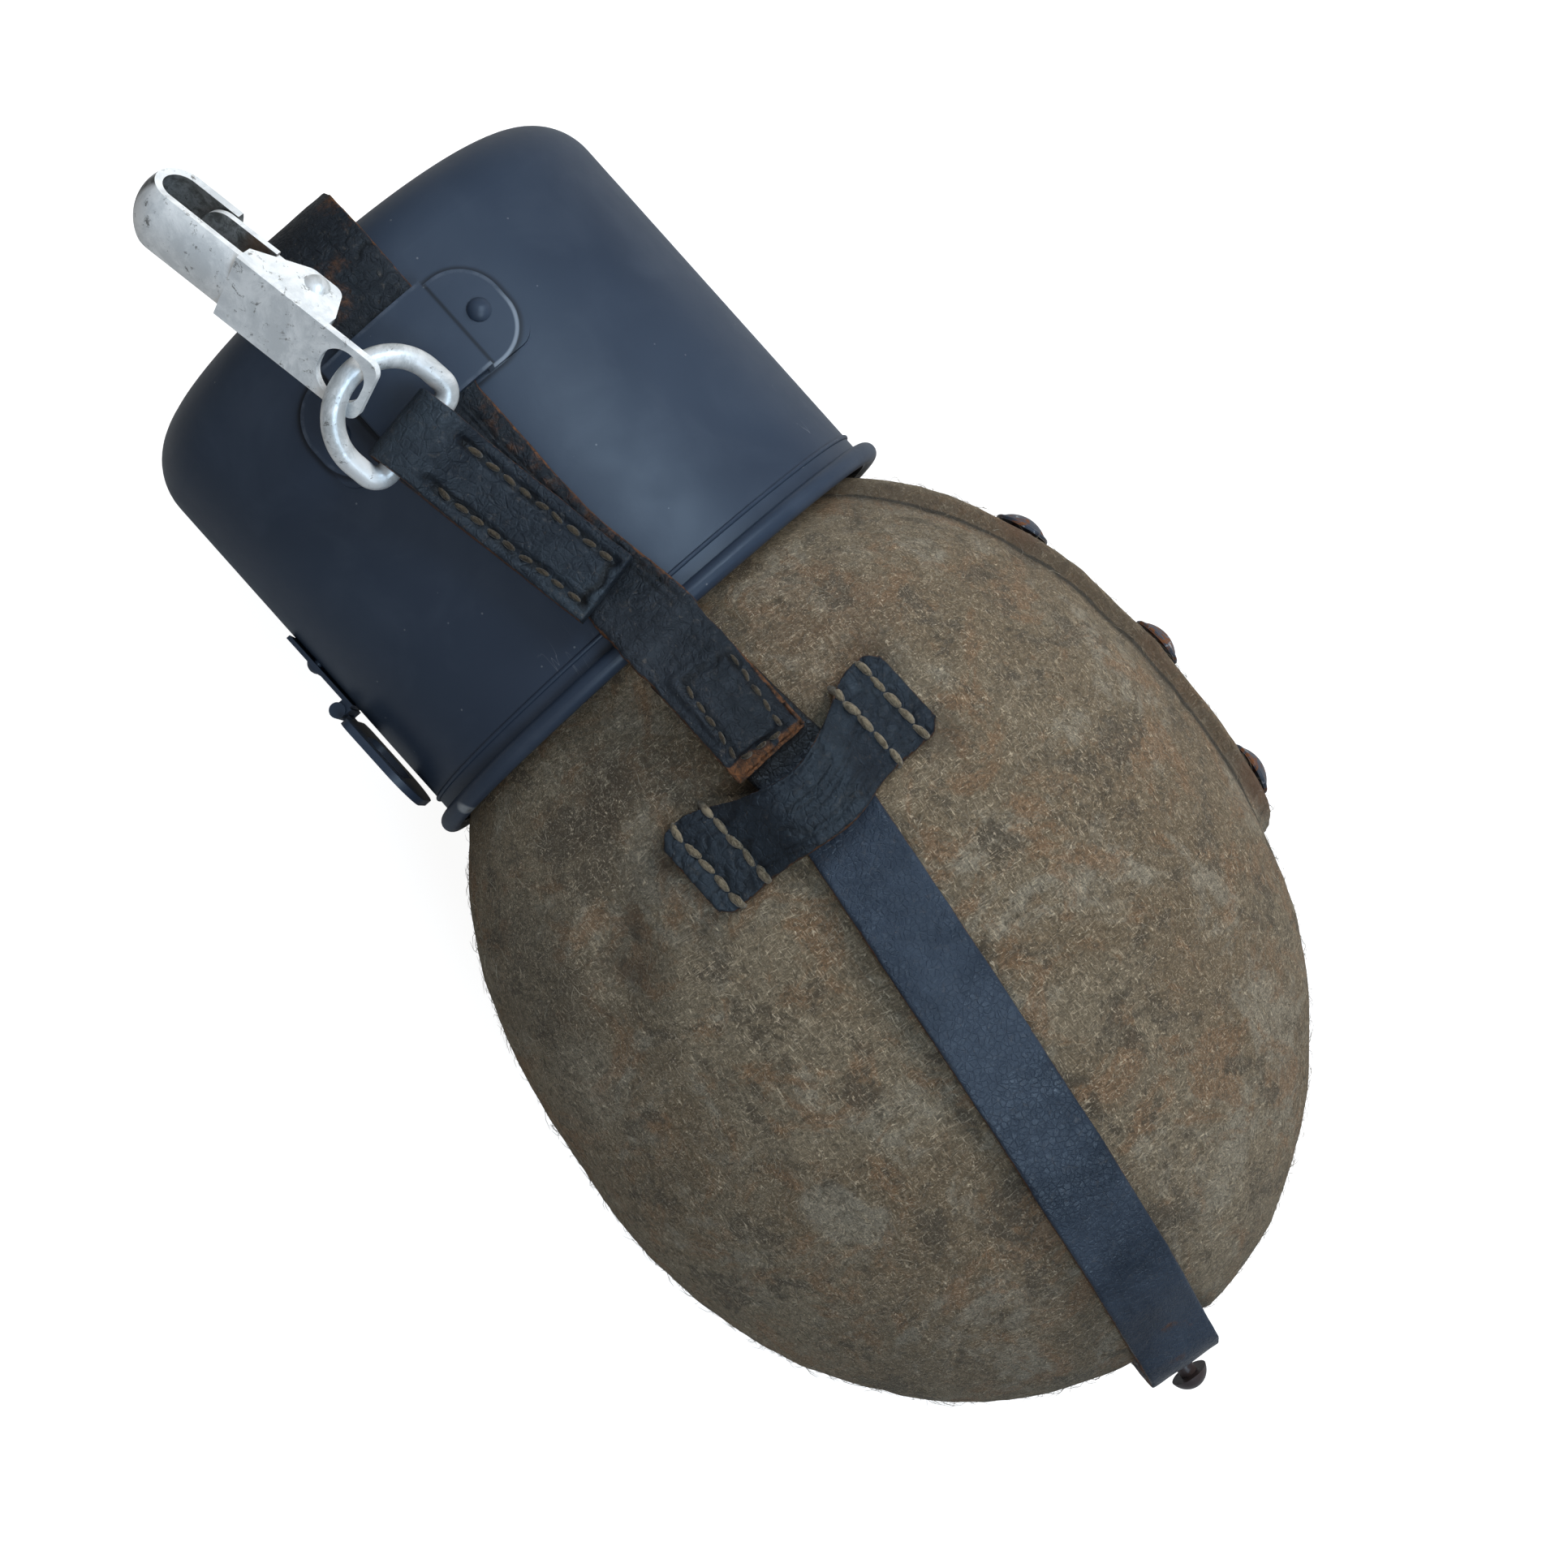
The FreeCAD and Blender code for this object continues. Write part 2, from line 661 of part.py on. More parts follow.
def roller_depth():
    rim = upper_middle(rim_height + rim_bead_radius)
    return -(rim - 0.4 + strap_thickness / 2 + running_gap + roller_radius)


def roller_height():
    rise = roller_depth() - heel_depth()
    return heel_height + math.sqrt(buckle_length ** 2 - rise ** 2)


def tail_route():
    """From under the roller, over the heel's fold and down the back strap to the pointed end."""
    heel = heel_depth() - buckle_wire_radius - fold_thickness - 0.45 - strap_thickness / 2
    over = strap_thickness + fold_thickness + 3 * strap_lay + strap_thickness / 2
    lay = strap_thickness + 2 * strap_lay + strap_thickness / 2
    back = heel_height - fold_length
    inner = roller_depth() + roller_radius + running_gap + strap_thickness / 2
    route = [(roller_height() - 0.5, inner), (heel_height + 1.0, heel)]
    route += [(h, -felt_depth(h) - over - 0.75) for h in (heel_height - 6.0, back + 1.0)]
    route += [(h, -felt_depth(h) - lay - 0.25) for h in (back - 7.0, back - 14.0, tail_end_height)]
    return route


def prong_slot():
    """The slot in the tail that the prong stands in."""
    return on_back(slab(-1.5, 1.5, heel_height - 1.5, heel_height + 9.0, -70, -25))


def on_back(shape):
    """The back strap and its buckle turn a little about the stud, to meet the leaning tail."""
    return placed(shape, FreeCAD.Placement(V(0, 0, 0), FreeCAD.Rotation(V(0, 0, 1), back_strap_turn)))


def make_upper_strap():
    strap = ribbon(upper_strap_route(), strap_thickness, strap_width, strap_shift)
    patch = make_patch()
    strap = leaned(strap.fuse(patch))
    return strap.cut(prong_slot())


def make_patch():
    """The raised rectangle where the two straps are sewn through."""
    route = []
    for n in range(5):
        h = patch_start + patch_length * n / 4
        route.append((h, upper_middle(h) + strap_thickness / 2 + patch_thickness / 2 - 0.15))
    patch = ribbon(route, patch_thickness, patch_width, strap_shift)
    return patch


def make_lower_strap():
    """From under the upper strap down the front and round the bottom to the stud."""
    lift = strap_lay + strap_thickness / 2
    step = strap_thickness + 1.5 * strap_lay
    covered = lower_strap_end_height - upper_strap_end_height
    heights = [lower_strap_end_height - covered * share for share in (0.0, 0.36, 0.69)]
    route = [(h, upper_middle(h) - step) for h in heights]
    open_top = upper_strap_end_height - 5.3
    route += [on_felt(open_top * share, lift) for share in (1.0, 0.87, 0.73, 0.59, 0.44, 0.32, 0.21, 0.12, 0.063)]
    under = strap_thickness + 2 * strap_lay + strap_thickness / 2
    route += [under_bottom(z, under) for z in (11.0, 3.0, -4.0, -10.0)]
    strap = ribbon(route, strap_thickness, strap_width)
    hole = drum(stud_slot_radius, -20, 10)
    strap.rotate(V(0, 0, 0), V(0, 0, 1), lower_strap_turn)
    return strap.cut(hole)


def make_back_strap():
    """From under the front strap's end up the back, its skived end folded round the buckle's heel."""
    lift = strap_lay + strap_thickness / 2
    route = [under_bottom(z, lift) for z in (10.0, 3.0, -4.0, -11.0)]
    fold_start = heel_height - fold_length
    shares = (0.048, 0.11, 0.21, 0.32, 0.44, 0.59, 0.73, 0.86, 1.0)
    route += [on_felt(fold_start * share, lift, -1) for share in shares]
    route += [on_felt(h, lift, -1) for h in (heel_height - 8.0,)]
    strap = ribbon(route, strap_thickness, strap_width)
    hole = drum(stud_shaft_radius + 0.2, -20, 10)
    heel = heel_depth()
    inner = buckle_wire_radius + 0.1
    middle = inner + fold_thickness / 2
    root = heel_height - 8.0
    fold = [(root - 3.5, on_felt(root - 3.5, 0, -1)[1] - strap_lay - 1.2),
            (root + 1.0, on_felt(root + 1.0, 0, -1)[1] - strap_lay - 1.3),
            (heel_height - 3.0, heel + middle - 0.1)]
    fold += [(y, z) for y, z in reversed(round_bend(heel_height, heel, middle))]
    over = strap_thickness + 2 * strap_lay + fold_thickness / 2
    fold += [(heel_height - 3.5, heel - middle - 0.15)]
    fold += [(h, -felt_depth(h) - over - 0.15) for h in (heel_height - 9.5, heel_height - fold_length)]
    strap = strap.fuse(ribbon(fold, fold_thickness, strap_width))
    slot = slab(-1.9, 1.9, heel_height - 3.4, heel_height + 8, heel - 8, heel + 2.7)
    return on_back(strap.cut(hole).cut(slot))


def make_loop(height, side, rise, spread, turned):
    """A leather loop sewn to the felt by both ends, arched over what it holds."""
    half = loop_half_length
    foot = half - loop_foot
    lay = loop_lay + loop_thickness / 2
    wide = flask_half_width + felt_thickness

    def skin(x):
        return felt_depth(height) * math.sqrt(1 - (x / wide / outline_share(height, 0.0)) ** 2)

    points = [(-half, skin(half) + lay), (-foot, skin(foot) + lay)]
    shoulder = strap_width / 2 + spread
    points += [(-shoulder - 1.6, skin(0) + rise * 0.45), (-shoulder * 0.62, skin(0) + rise), (0, skin(0) + rise + 0.5)]
    points += [(-x, z) for x, z in reversed(points[:-1])]
    curve = Part.BSplineCurve()
    curve.interpolate([V(x, height - loop_width / 2, side * z) for x, z in points])
    outer, inner = [], []
    first, last = curve.FirstParameter, curve.LastParameter
    for n in range(33):
        u = first + (last - first) * n / 32
        p = curve.value(u)
        t = curve.tangent(u)[0]
        across = V(-t.z, 0, t.x) * (loop_thickness / 2)
        outer.append(p + across)
        inner.append(p - across)
    edges = []
    for row in (outer, inner):
        edge = Part.BSplineCurve()
        edge.interpolate(row)
        edges.append(edge)
    wire = Part.Wire([edges[0].toShape(), Part.LineSegment(outer[-1], inner[-1]).toShape(), edges[1].toShape(),
                      Part.LineSegment(inner[0], outer[0]).toShape()])
    loop = Part.Face(wire).extrude(V(0, loop_width, 0))
    fall = felt_depth(height + loop_width / 2) - felt_depth(height - loop_width / 2)
    loop.rotate(V(0, height, side * felt_depth(height)), V(side, 0, 0), math.degrees(math.atan(fall / loop_width)))
    return leaned(loop) if turned else loop


def stud_seat():
    """The hole in the felt for the stud, with room for its flange against the flask."""
    hole = drum(stud_shaft_radius + 0.05, -1.0, felt_thickness)
    return hole.fuse(drum(stud_flange_radius + 0.1, felt_thickness - 0.85, felt_thickness + 0.3))


def make_stud():
    """The mushroom stud at the bottom, set in the felt and passing through both strap ends."""
    layers = 2 * (strap_thickness + strap_lay) + stud_neck_length
    shaft = drum(stud_shaft_radius, -layers - 0.5, felt_thickness - 0.1)
    head = Part.makeSphere(stud_head_radius, V(0, -layers - stud_head_thickness + stud_head_radius, 0))
    head = head.common(drum(stud_head_radius + 1, -layers - stud_head_thickness, -layers))
    flange = drum(stud_flange_radius, felt_thickness - 0.75, felt_thickness - 0.15)
    return shaft.fuse(head).fuse(flange)


# Ring and tab. They are drawn along Y with the ring's bar at the origin and then placed.

def bar_height():
    """Height of the ring's bar: it lies in the fold of the tab on top of the strap."""
    strap_top = cup_front(tab_end_height + tab_length) + strap_lay + strap_thickness + upper_strap_slack
    return strap_top + strap_lay + tab_thickness + ring_play + ring_wire_radius + tab_fold_rise


def tab_frame():
    turn = FreeCAD.Rotation(V(0, 0, 1), tab_turn)
    start = V(tab_shift, tab_end_height, 0)
    return FreeCAD.Placement(start + turn.multVec(V(0, tab_length, 0)) + V(0, 0, bar_height()), turn)


def on_tab(shape):
    return leaned(placed(shape, tab_frame()))


def make_tab():
    """The tab: a strip folded round the ring's bar, both layers sewn on the strap."""
    inside = ring_wire_radius + ring_play + tab_thickness / 2
    shares = (1.0, 0.88, 0.7, 0.45, 0.2)
    lifts = (1.1, 0.55, 0.15, 0.0, 0.1)
    route = [(-tab_length * share, tab_bed(share) + lift) for share, lift in zip(shares, lifts)]
    route += [(-tab_length * 0.08, -inside - tab_fold_rise * 0.2)]
    route += round_bend(0.0, 0.0, inside)
    route += [(-tab_length * 0.1, inside * 0.8), (-tab_length * 0.24, tab_bed(0.24) + tab_thickness + 1.6)]
    shares = (0.45, 0.7, 0.88, 1.0)
    lifts = (0.2, 0.35, 0.75, 1.3)
    route += [(-tab_length * share, tab_bed(share) + tab_thickness + lift) for share, lift in zip(shares, lifts)]
    return on_tab(ribbon(route, tab_thickness, tab_width))


def tab_bed(share):
    """Height of the lower layer's middle on the strap, from the bar, at a share of the tab's length."""
    height = tab_end_height + tab_length * (1.0 - share)
    strap_top = cup_front(height) + strap_lay + strap_thickness + upper_strap_slack
    return strap_top + strap_lay + tab_thickness / 2 - bar_height()


def ring_path():
    half = ring_straight / 2
    wide = half + ring_corner
    low = ring_corner
    top = ring_reach - wide
    s = math.sqrt(0.5)
    edges = [
        Part.LineSegment(V(-half, 0, 0), V(half, 0, 0)),
        Part.Arc(V(half, 0, 0), V(half + low * s, low - low * s, 0), V(wide, low, 0)),
        Part.LineSegment(V(wide, low, 0), V(wide, top, 0)),
        Part.Arc(V(wide, top, 0), V(0, ring_reach, 0), V(-wide, top, 0)),
        Part.LineSegment(V(-wide, top, 0), V(-wide, low, 0)),
        Part.Arc(V(-wide, low, 0), V(-half - low * s, low - low * s, 0), V(-half, 0, 0)),
    ]
    return Part.Wire([e.toShape() for e in edges])


def ring_frame():
    return FreeCAD.Placement(V(0, 0, 0), FreeCAD.Rotation(V(1, 0, 0), ring_lift))


def make_ring():
    section = Part.Wire([Part.Circle(V(0, 0, 0), V(1, 0, 0), ring_wire_radius).toShape()])
    ring = ring_path().makePipeShell([section], True, True)
    return on_tab(placed(ring, ring_frame()))


# Snap hook. It is drawn with its hole at the origin, its length along Y and its back leg up.

def hook_frame():
    """The hook hangs on the ring's far end, lying back flat and rolled to its left side."""
    apex = ring_frame().multVec(V(0, ring_reach, 0))
    return FreeCAD.Placement(apex + V(0, hook_pull, 0), FreeCAD.Rotation(V(0, 1, 0), -hook_roll))


def on_hook(shape):
    return on_tab(placed(shape, hook_frame()))


def gutter(width, sag, thickness, y):
    """Section of the hook's leg: a strip hollowed on its inner side."""
    half = width / 2
    top = thickness / 2
    outer = Part.Arc(V(-half, y, top - sag), V(0, y, top), V(half, y, top - sag)).toShape()
    inner = Part.Arc(V(half - 0.2, y, top - sag - thickness), V(0, y, top - thickness),
                     V(-half + 0.2, y, top - sag - thickness)).toShape()
    right = Part.LineSegment(V(half, y, top - sag), V(half - 0.2, y, top - sag - thickness)).toShape()
    left = Part.LineSegment(V(-half + 0.2, y, top - sag - thickness), V(-half, y, top - sag)).toShape()
    return Part.Wire([outer, right, inner, left])


def make_hook():
    """The stamped body: a flat eye for the ring, a box with two ears for the gate, and the hooked leg."""
    box_half = hook_box_width / 2
    start = hook_hole_radius + 1.5
    end = start + hook_box_length
    top = hook_sheet / 2
    eye_end = -hook_hole_radius - hook_hole_edge
    plate = slab(-box_half, box_half, eye_end, end, -top, top)
    corners = [e for e in plate.Edges if e.BoundBox.ZLength > top and e.BoundBox.YMax < eye_end + 0.01]
    plate = plate.makeFillet(hook_end_rounding, corners)
    box = slab(-box_half, box_half, start, end, -hook_box_depth, top)
    long_edges = [e for e in box.Edges if e.BoundBox.YLength > 1 and e.BoundBox.ZMin > 0]
    box = box.makeFillet(2.0, long_edges)
    inner_half = box_half - hook_sheet
    room = slab(-inner_half, inner_half, start - 1, end + 1, -hook_box_depth - 1, -top)
    box = box.cut(room)
    ear = Part.makePolygon([V(-20, start, top + 1), V(-20, start, -2.6), V(-20, gate_pin_along - 3.4, -hook_box_depth),
                            V(-20, gate_pin_along + 2.6, -hook_box_depth), V(-20, end, -3.0), V(-20, end, top + 1),
                            V(-20, start, top + 1)])
    ear = Part.Face(ear).extrude(V(40, 0, 0))
    ear = ear.makeFillet(2.4, [e for e in ear.Edges if e.BoundBox.XLength > 39 and e.BoundBox.ZMax < -hook_box_depth + 0.01])
    box = box.common(ear)
    leg_start = end - 3.0
    path = Part.Wire([
        Part.LineSegment(V(0, leg_start, 0), V(0, hook_leg_end, 0)).toShape(),
        Part.Arc(V(0, hook_leg_end, 0), V(0, hook_leg_end + hook_nose_radius, -hook_nose_radius),
                 V(0, hook_leg_end, -2 * hook_nose_radius)).toShape(),
        Part.LineSegment(V(0, hook_leg_end, -2 * hook_nose_radius),
                         V(0, hook_leg_end - hook_return, -2 * hook_nose_radius)).toShape()])
    leg = path.makePipeShell([gutter(hook_width, hook_gutter, hook_sheet, leg_start)], True, False)
    body = plate.fuse(box).fuse(leg)
    for x in (-hook_hole_slot, hook_hole_slot):
        body = body.cut(Part.makeCylinder(hook_hole_radius, 6, V(x, 0, -3)))
    body = body.cut(slab(-hook_hole_slot, hook_hole_slot, -hook_hole_radius, hook_hole_radius, -3, 3))
    pin = Part.makeCylinder(gate_pin_radius + 0.02, 30, V(-15, gate_pin_along, -gate_pin_depth), V(1, 0, 0))
    return on_hook(body.cut(pin))


def make_gate():
    """The gate: a lever on the rivet whose rounded tip shuts against the inside of the nose."""
    tip = hook_leg_end - hook_return + 5.0
    shut = -2 * hook_nose_radius + hook_sheet / 2 + gate_clearance + gate_sheet / 2
    barrel = Part.makeCylinder(gate_pin_radius + 1.1, gate_width, V(-gate_width / 2, gate_pin_along, -gate_pin_depth),
                               V(1, 0, 0))
    half = gate_width / 2
    wide = gate_tip_width / 2
    start = gate_pin_along
    low = -gate_pin_depth - gate_pin_radius - 1.1 + gate_sheet / 2
    side = Part.makePolygon([V(-wide, start, low - gate_sheet / 2), V(-wide, tip, shut - gate_sheet / 2),
                             V(-wide, tip, shut + gate_sheet / 2), V(-wide, start, low + gate_sheet / 2),
                             V(-wide, start, low - gate_sheet / 2)])
    lever = Part.Face(side).extrude(V(gate_tip_width, 0, 0))
    ends = [e for e in lever.Edges if e.BoundBox.XLength < 0.01 and e.BoundBox.YMin > tip - 0.01]
    lever = lever.makeFillet(wide * 0.85, ends)
    waist = slab(-half, half, start - 1, gate_shoulder, -hook_box_depth - 4, 0)
    blade = slab(-wide, wide, gate_shoulder, tip + 1, -hook_box_depth - 4, 0)
    lever = lever.common(waist.fuse(blade))
    gate = barrel.fuse(lever)
    bore = Part.makeCylinder(gate_pin_radius + 0.06, gate_width + 2, V(-half - 1, gate_pin_along, -gate_pin_depth),
                             V(1, 0, 0))
    return on_hook(gate.cut(bore))


def make_gate_rivet():
    half = hook_box_width / 2
    pin = Part.makeCylinder(gate_pin_radius, 2 * half + 0.8, V(-half - 0.4, gate_pin_along, -gate_pin_depth), V(1, 0, 0))
    for side in (-1, 1):
        ball = Part.makeSphere(gate_rivet_head * 1.2, V(side * (half - gate_rivet_head * 0.66 + 0.02), gate_pin_along,
                                                       -gate_pin_depth))
        keep = Part.makeCylinder(gate_rivet_head, 3.0, V(side * (half + 0.02), gate_pin_along, -gate_pin_depth),
                                 V(side, 0, 0))
        pin = pin.fuse(ball.common(keep))
    return on_hook(pin)


def make_gate_spring():
    """The leaf spring between the box's back and the gate."""
    top = -hook_sheet / 2 - spring_sheet / 2 - 0.05
    end = gate_pin_along + 9.0
    route = [(hook_hole_radius + 2.4, top), (gate_pin_along - 3.5, top), (gate_pin_along + 1.0, top - 0.6),
             (end, top - 2.6)]
    return on_hook(ribbon(route, spring_sheet, gate_width - 2.0))


# Buckle pieces

def buckle_frame_place():
    rise = roller_depth() - heel_depth()
    turn = math.degrees(math.asin(rise / buckle_length))
    return FreeCAD.Placement(V(0, heel_height, heel_depth()), FreeCAD.Rotation(V(1, 0, 0), turn))


def make_buckle_frame():
    half = buckle_inner_width / 2 + buckle_wire_radius
    bend = 2.4
    s = bend * (1 - math.sqrt(0.5))
    far = buckle_length
    edges = [
        Part.LineSegment(V(0, 0, 0), V(half - bend, 0, 0)),
        Part.Arc(V(half - bend, 0, 0), V(half - s, s, 0), V(half, bend, 0)),
        Part.LineSegment(V(half, bend, 0), V(half, far - bend, 0)),
        Part.Arc(V(half, far - bend, 0), V(half - s, far - s, 0), V(half - bend, far, 0)),
        Part.LineSegment(V(half - bend, far, 0), V(bend - half, far, 0)),
        Part.Arc(V(bend - half, far, 0), V(s - half, far - s, 0), V(-half, far - bend, 0)),
        Part.LineSegment(V(-half, far - bend, 0), V(-half, bend, 0)),
        Part.Arc(V(-half, bend, 0), V(s - half, s, 0), V(bend - half, 0, 0)),
        Part.LineSegment(V(bend - half, 0, 0), V(0, 0, 0)),
    ]
    path = Part.Wire([e.toShape() for e in edges])
    section = Part.Wire([Part.Circle(V(0, 0, 0), V(1, 0, 0), buckle_wire_radius).toShape()])
    return on_back(placed(path.makePipeShell([section], True, True), buckle_frame_place()))


def make_roller():
    half = buckle_inner_width / 2 - 2.0
    at = V(-half, roller_height(), roller_depth())
    tube = Part.makeCylinder(roller_radius, 2 * half, at, V(1, 0, 0))
    bore = Part.makeCylinder(buckle_wire_radius + roller_play, 2 * half + 2, at - V(1, 0, 0), V(1, 0, 0))
    return on_back(tube.cut(bore))


def make_prong():
    """The prong: an eye round the heel bar and a tongue that rests on the roller."""
    heel = V(0, heel_height, heel_depth())
    eye_outer = buckle_wire_radius + prong_play + 1.0
    eye = Part.makeCylinder(eye_outer, 2.6, heel - V(1.3, 0, 0), V(1, 0, 0))
    tip_y = roller_height() + 1.2
    tip_z = roller_depth() - roller_radius - running_gap - prong_radius
    root = V(0, heel_height + 1.0, heel_depth() - 1.1)
    knee = V(0, heel_height + 4.6, tip_z + 1.6)
    tip = V(0, tip_y, tip_z)
    first = Part.makeCylinder(prong_radius, (knee - root).Length, root, knee - root)
    second = Part.makeCylinder(prong_radius, (tip - knee).Length, knee, tip - knee)
    tongue = first.fuse(Part.makeSphere(prong_radius, knee)).fuse(second).fuse(Part.makeSphere(prong_radius, tip))
    prong = eye.fuse(tongue)
    bore = Part.makeCylinder(buckle_wire_radius + prong_play, 6, heel - V(3, 0, 0), V(1, 0, 0))
    return on_back(prong.cut(bore))


def build():
    """Every piece by its name, in the drawing's own place."""
    pieces = {
        "flask_body": make_flask(),
        "screw_cap": make_cap(),
        "cap_gasket": make_gasket(),
        "felt_cover": make_felt(),
        "cup_shell": leaned(make_cup()),
        "strap_bracket": leaned(make_bracket()),
        "handle_lug": leaned(make_lug()),
        "handle_pin": leaned(make_handle_pin()),
        "cup_handle": leaned(make_handle()),
        "upper_strap": make_upper_strap(),
        "lower_strap": make_lower_strap(),
        "back_strap": make_back_strap(),
        "bottom_stud": make_stud(),
        "hook_tab": make_tab(),
        "carrying_ring": make_ring(),
        "hook_body": make_hook(),
        "hook_gate": make_gate(),
        "gate_rivet": make_gate_rivet(),
        "gate_spring": make_gate_spring(),
        "buckle_frame": make_buckle_frame(),
        "buckle_roller": make_roller(),
        "buckle_prong": make_prong(),
    }
    for n, height in enumerate(snap_heights, 1):
        pieces[f"snap_cap_{n}"] = make_snap_cap(height)
        pieces[f"snap_stud_{n}"] = make_snap_stud(height)
    for name, side in (("left", -1), ("right", 1)):
        shape = rivet(bracket_rivet_head, bracket_sheet + 0.25)
        pieces[f"bracket_rivet_{name}"] = leaned(placed(shape, bracket_rivet_place(side)))
    for name, place in zip(("back", "front"), lug_rivet_places()):
        pieces[f"lug_rivet_{name}"] = leaned(placed(rivet(lug_rivet_head, lug_sheet + 0.02), place))
    front_rise = 2 * strap_thickness + 2 * strap_lay + loop_thickness / 2 + 1.2
    pieces["front_loop"] = make_loop(front_loop_height, 1, front_rise, 1.2, True)
    back_rise = 2 * strap_thickness + 4 * strap_lay + loop_thickness / 2 + 2.7
    pieces["back_loop"] = make_loop(back_loop_height, -1, back_rise, 3.0, False)
    return pieces


def origin_of(pieces):
    """The drawing's origin goes to the middle of the ground under the canteen."""
    box = FreeCAD.BoundBox()
    for shape in pieces.values():
        box.add(shape.optimalBoundingBox(True, False))
    return V(box.Center.x, box.Center.y, box.ZMin)


pieces = build()
ground = origin_of(pieces)
os.makedirs("parts", exist_ok=True)
for name, shape in pieces.items():
    shape.translate(ground * -1)
    shape.exportStep(os.path.join("parts", f"{name}.step"))
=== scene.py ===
import math
import random

import bpy
import numpy as np
from mathutils import Matrix, Quaternion, Vector
from mathutils.bvhtree import BVHTree


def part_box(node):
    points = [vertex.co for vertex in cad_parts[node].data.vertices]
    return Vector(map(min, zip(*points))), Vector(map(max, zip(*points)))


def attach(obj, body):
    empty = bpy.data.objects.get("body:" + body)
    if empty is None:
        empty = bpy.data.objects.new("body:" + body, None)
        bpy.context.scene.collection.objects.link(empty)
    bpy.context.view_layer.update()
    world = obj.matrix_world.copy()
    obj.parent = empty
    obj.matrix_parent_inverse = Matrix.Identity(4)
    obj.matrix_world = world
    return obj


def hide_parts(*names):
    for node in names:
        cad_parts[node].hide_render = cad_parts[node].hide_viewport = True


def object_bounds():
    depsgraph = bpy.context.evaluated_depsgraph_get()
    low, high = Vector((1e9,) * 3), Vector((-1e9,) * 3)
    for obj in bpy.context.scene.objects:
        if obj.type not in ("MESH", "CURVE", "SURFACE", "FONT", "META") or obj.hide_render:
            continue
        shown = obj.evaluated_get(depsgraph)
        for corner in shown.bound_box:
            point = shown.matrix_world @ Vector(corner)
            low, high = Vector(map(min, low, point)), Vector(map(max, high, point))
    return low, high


# The looks of a field canteen: wool felt, worn leather, painted and bare aluminium.
# Shapes are in millimetres of the flask's own frame (X across, Y along, Z to the front), and MM turns them
# to metres. Materials are in metres of the row frame.

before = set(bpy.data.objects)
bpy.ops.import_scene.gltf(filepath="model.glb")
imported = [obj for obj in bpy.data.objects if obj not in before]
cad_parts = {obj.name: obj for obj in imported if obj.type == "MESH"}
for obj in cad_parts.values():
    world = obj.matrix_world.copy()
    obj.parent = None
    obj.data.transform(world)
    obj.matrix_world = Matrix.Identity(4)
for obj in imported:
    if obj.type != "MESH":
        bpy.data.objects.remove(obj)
cad_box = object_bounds()

MM = 0.001
NECK_HEIGHT = 196.0
BODY_MIDDLE = (0, 95, 0)
RIM_HEIGHT = 159.1
CUP_SLIP = -2.5
CUP_LEAN = math.radians(7.0)
TAB_ORIGIN = Vector((-18.997, 207.744, 43.331))
TAB_TURN = math.radians(17.0)
HOOK_ORIGIN = Vector((-23.002, 220.843, 52.222))
HOOK_ROLL = math.radians(-45.0)
BRACKET_X = -3.6
BRACKET_Y = RIM_HEIGHT + 61.5
BRACKET_HALF = (21.0, 9.25)
BRACKET_ROUNDING = 8.0
TUNNEL_HALF = 11.2

# the felt: where the flap's edge lies, and the hollow left of the front loop
FLAP_REACH = 8.5
FLAP_LOW, FLAP_HIGH = 64.0, 166.0
FLAP_RIGHT = 20.0
SEAM_SPAN = 8.0
HOLLOW = (-40.2, 117.4)
HOLLOW_ALONG = (0.57, 0.82)
PUCKERS = ((-27.5, 113.0), (-24.5, 127.0), (25.5, 118.0), (23.5, 134.0))
DIP_DEPTH = 1.9
DIP_RADIUS = 4.6

# the straps: the sewn patch at the upper strap's end, the crack on the cup, the lower strap's hidden end
STRAP_WIDTH = 15.0
STRAP_SHIFT = -1.2
PATCH_SEAM = 4.6
PATCH_LOW, PATCH_HIGH = 133.8, 149.8
PATCH_END = 4.2
CRACK_HEIGHT = 239.7
LAYERS = (1.5, 3.1)
TUCK = 3.0
LOWER_END_START = 124.0
LOWER_END_TURN = 0.22

# the tab's rows of stitches and its end, in its own frame
TAB_ROWS = (-4.4, 4.2)
TAB_END = -38.2

# the loops: how far their stitches lie from the ends, and how the front one differs from its solid
LOOP_HEIGHT = 122.3
BACK_LOOP_HEIGHT = 114.5
LOOP_HALF = 23.0
LOOP_REACH = 9.2
LOOP_ROWS = (3.4, 9.2)
LOOP_BOW = 5.0
LOOP_SHIFT = (-0.9, 2.4)
LOOP_FLARE = 1.2
LOOP_STRETCH = 1.07
FELT_FALL = 0.2

scene = bpy.context.scene
flask_low, flask_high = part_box("flask_body")
origin = Vector(((flask_low.x + flask_high.x) / 2,
                 flask_high.y - NECK_HEIGHT * MM,
                 (flask_low.z + flask_high.z) / 2))
origin_row = np.array(origin)
cup_turn = Matrix.Rotation(CUP_LEAN, 3, "Z")
cup_pivot = Vector((0, RIM_HEIGHT, 0))
cup_slip = Vector((CUP_SLIP, 0, 0))
tab_turn = Matrix.Rotation(TAB_TURN, 3, "Z")
hook_turn = tab_turn @ Matrix.Rotation(HOOK_ROLL, 3, "Y")


def at(x, y, z):
    """Row-frame point of a point in the flask's frame."""
    return origin + Vector((x, y, z)) * MM


def cup_at(x, y, z):
    """Row-frame point of a point in the leaning cup's frame."""
    return at(*(cup_turn @ (Vector((x, y, z)) - cup_pivot) + cup_pivot + cup_slip))


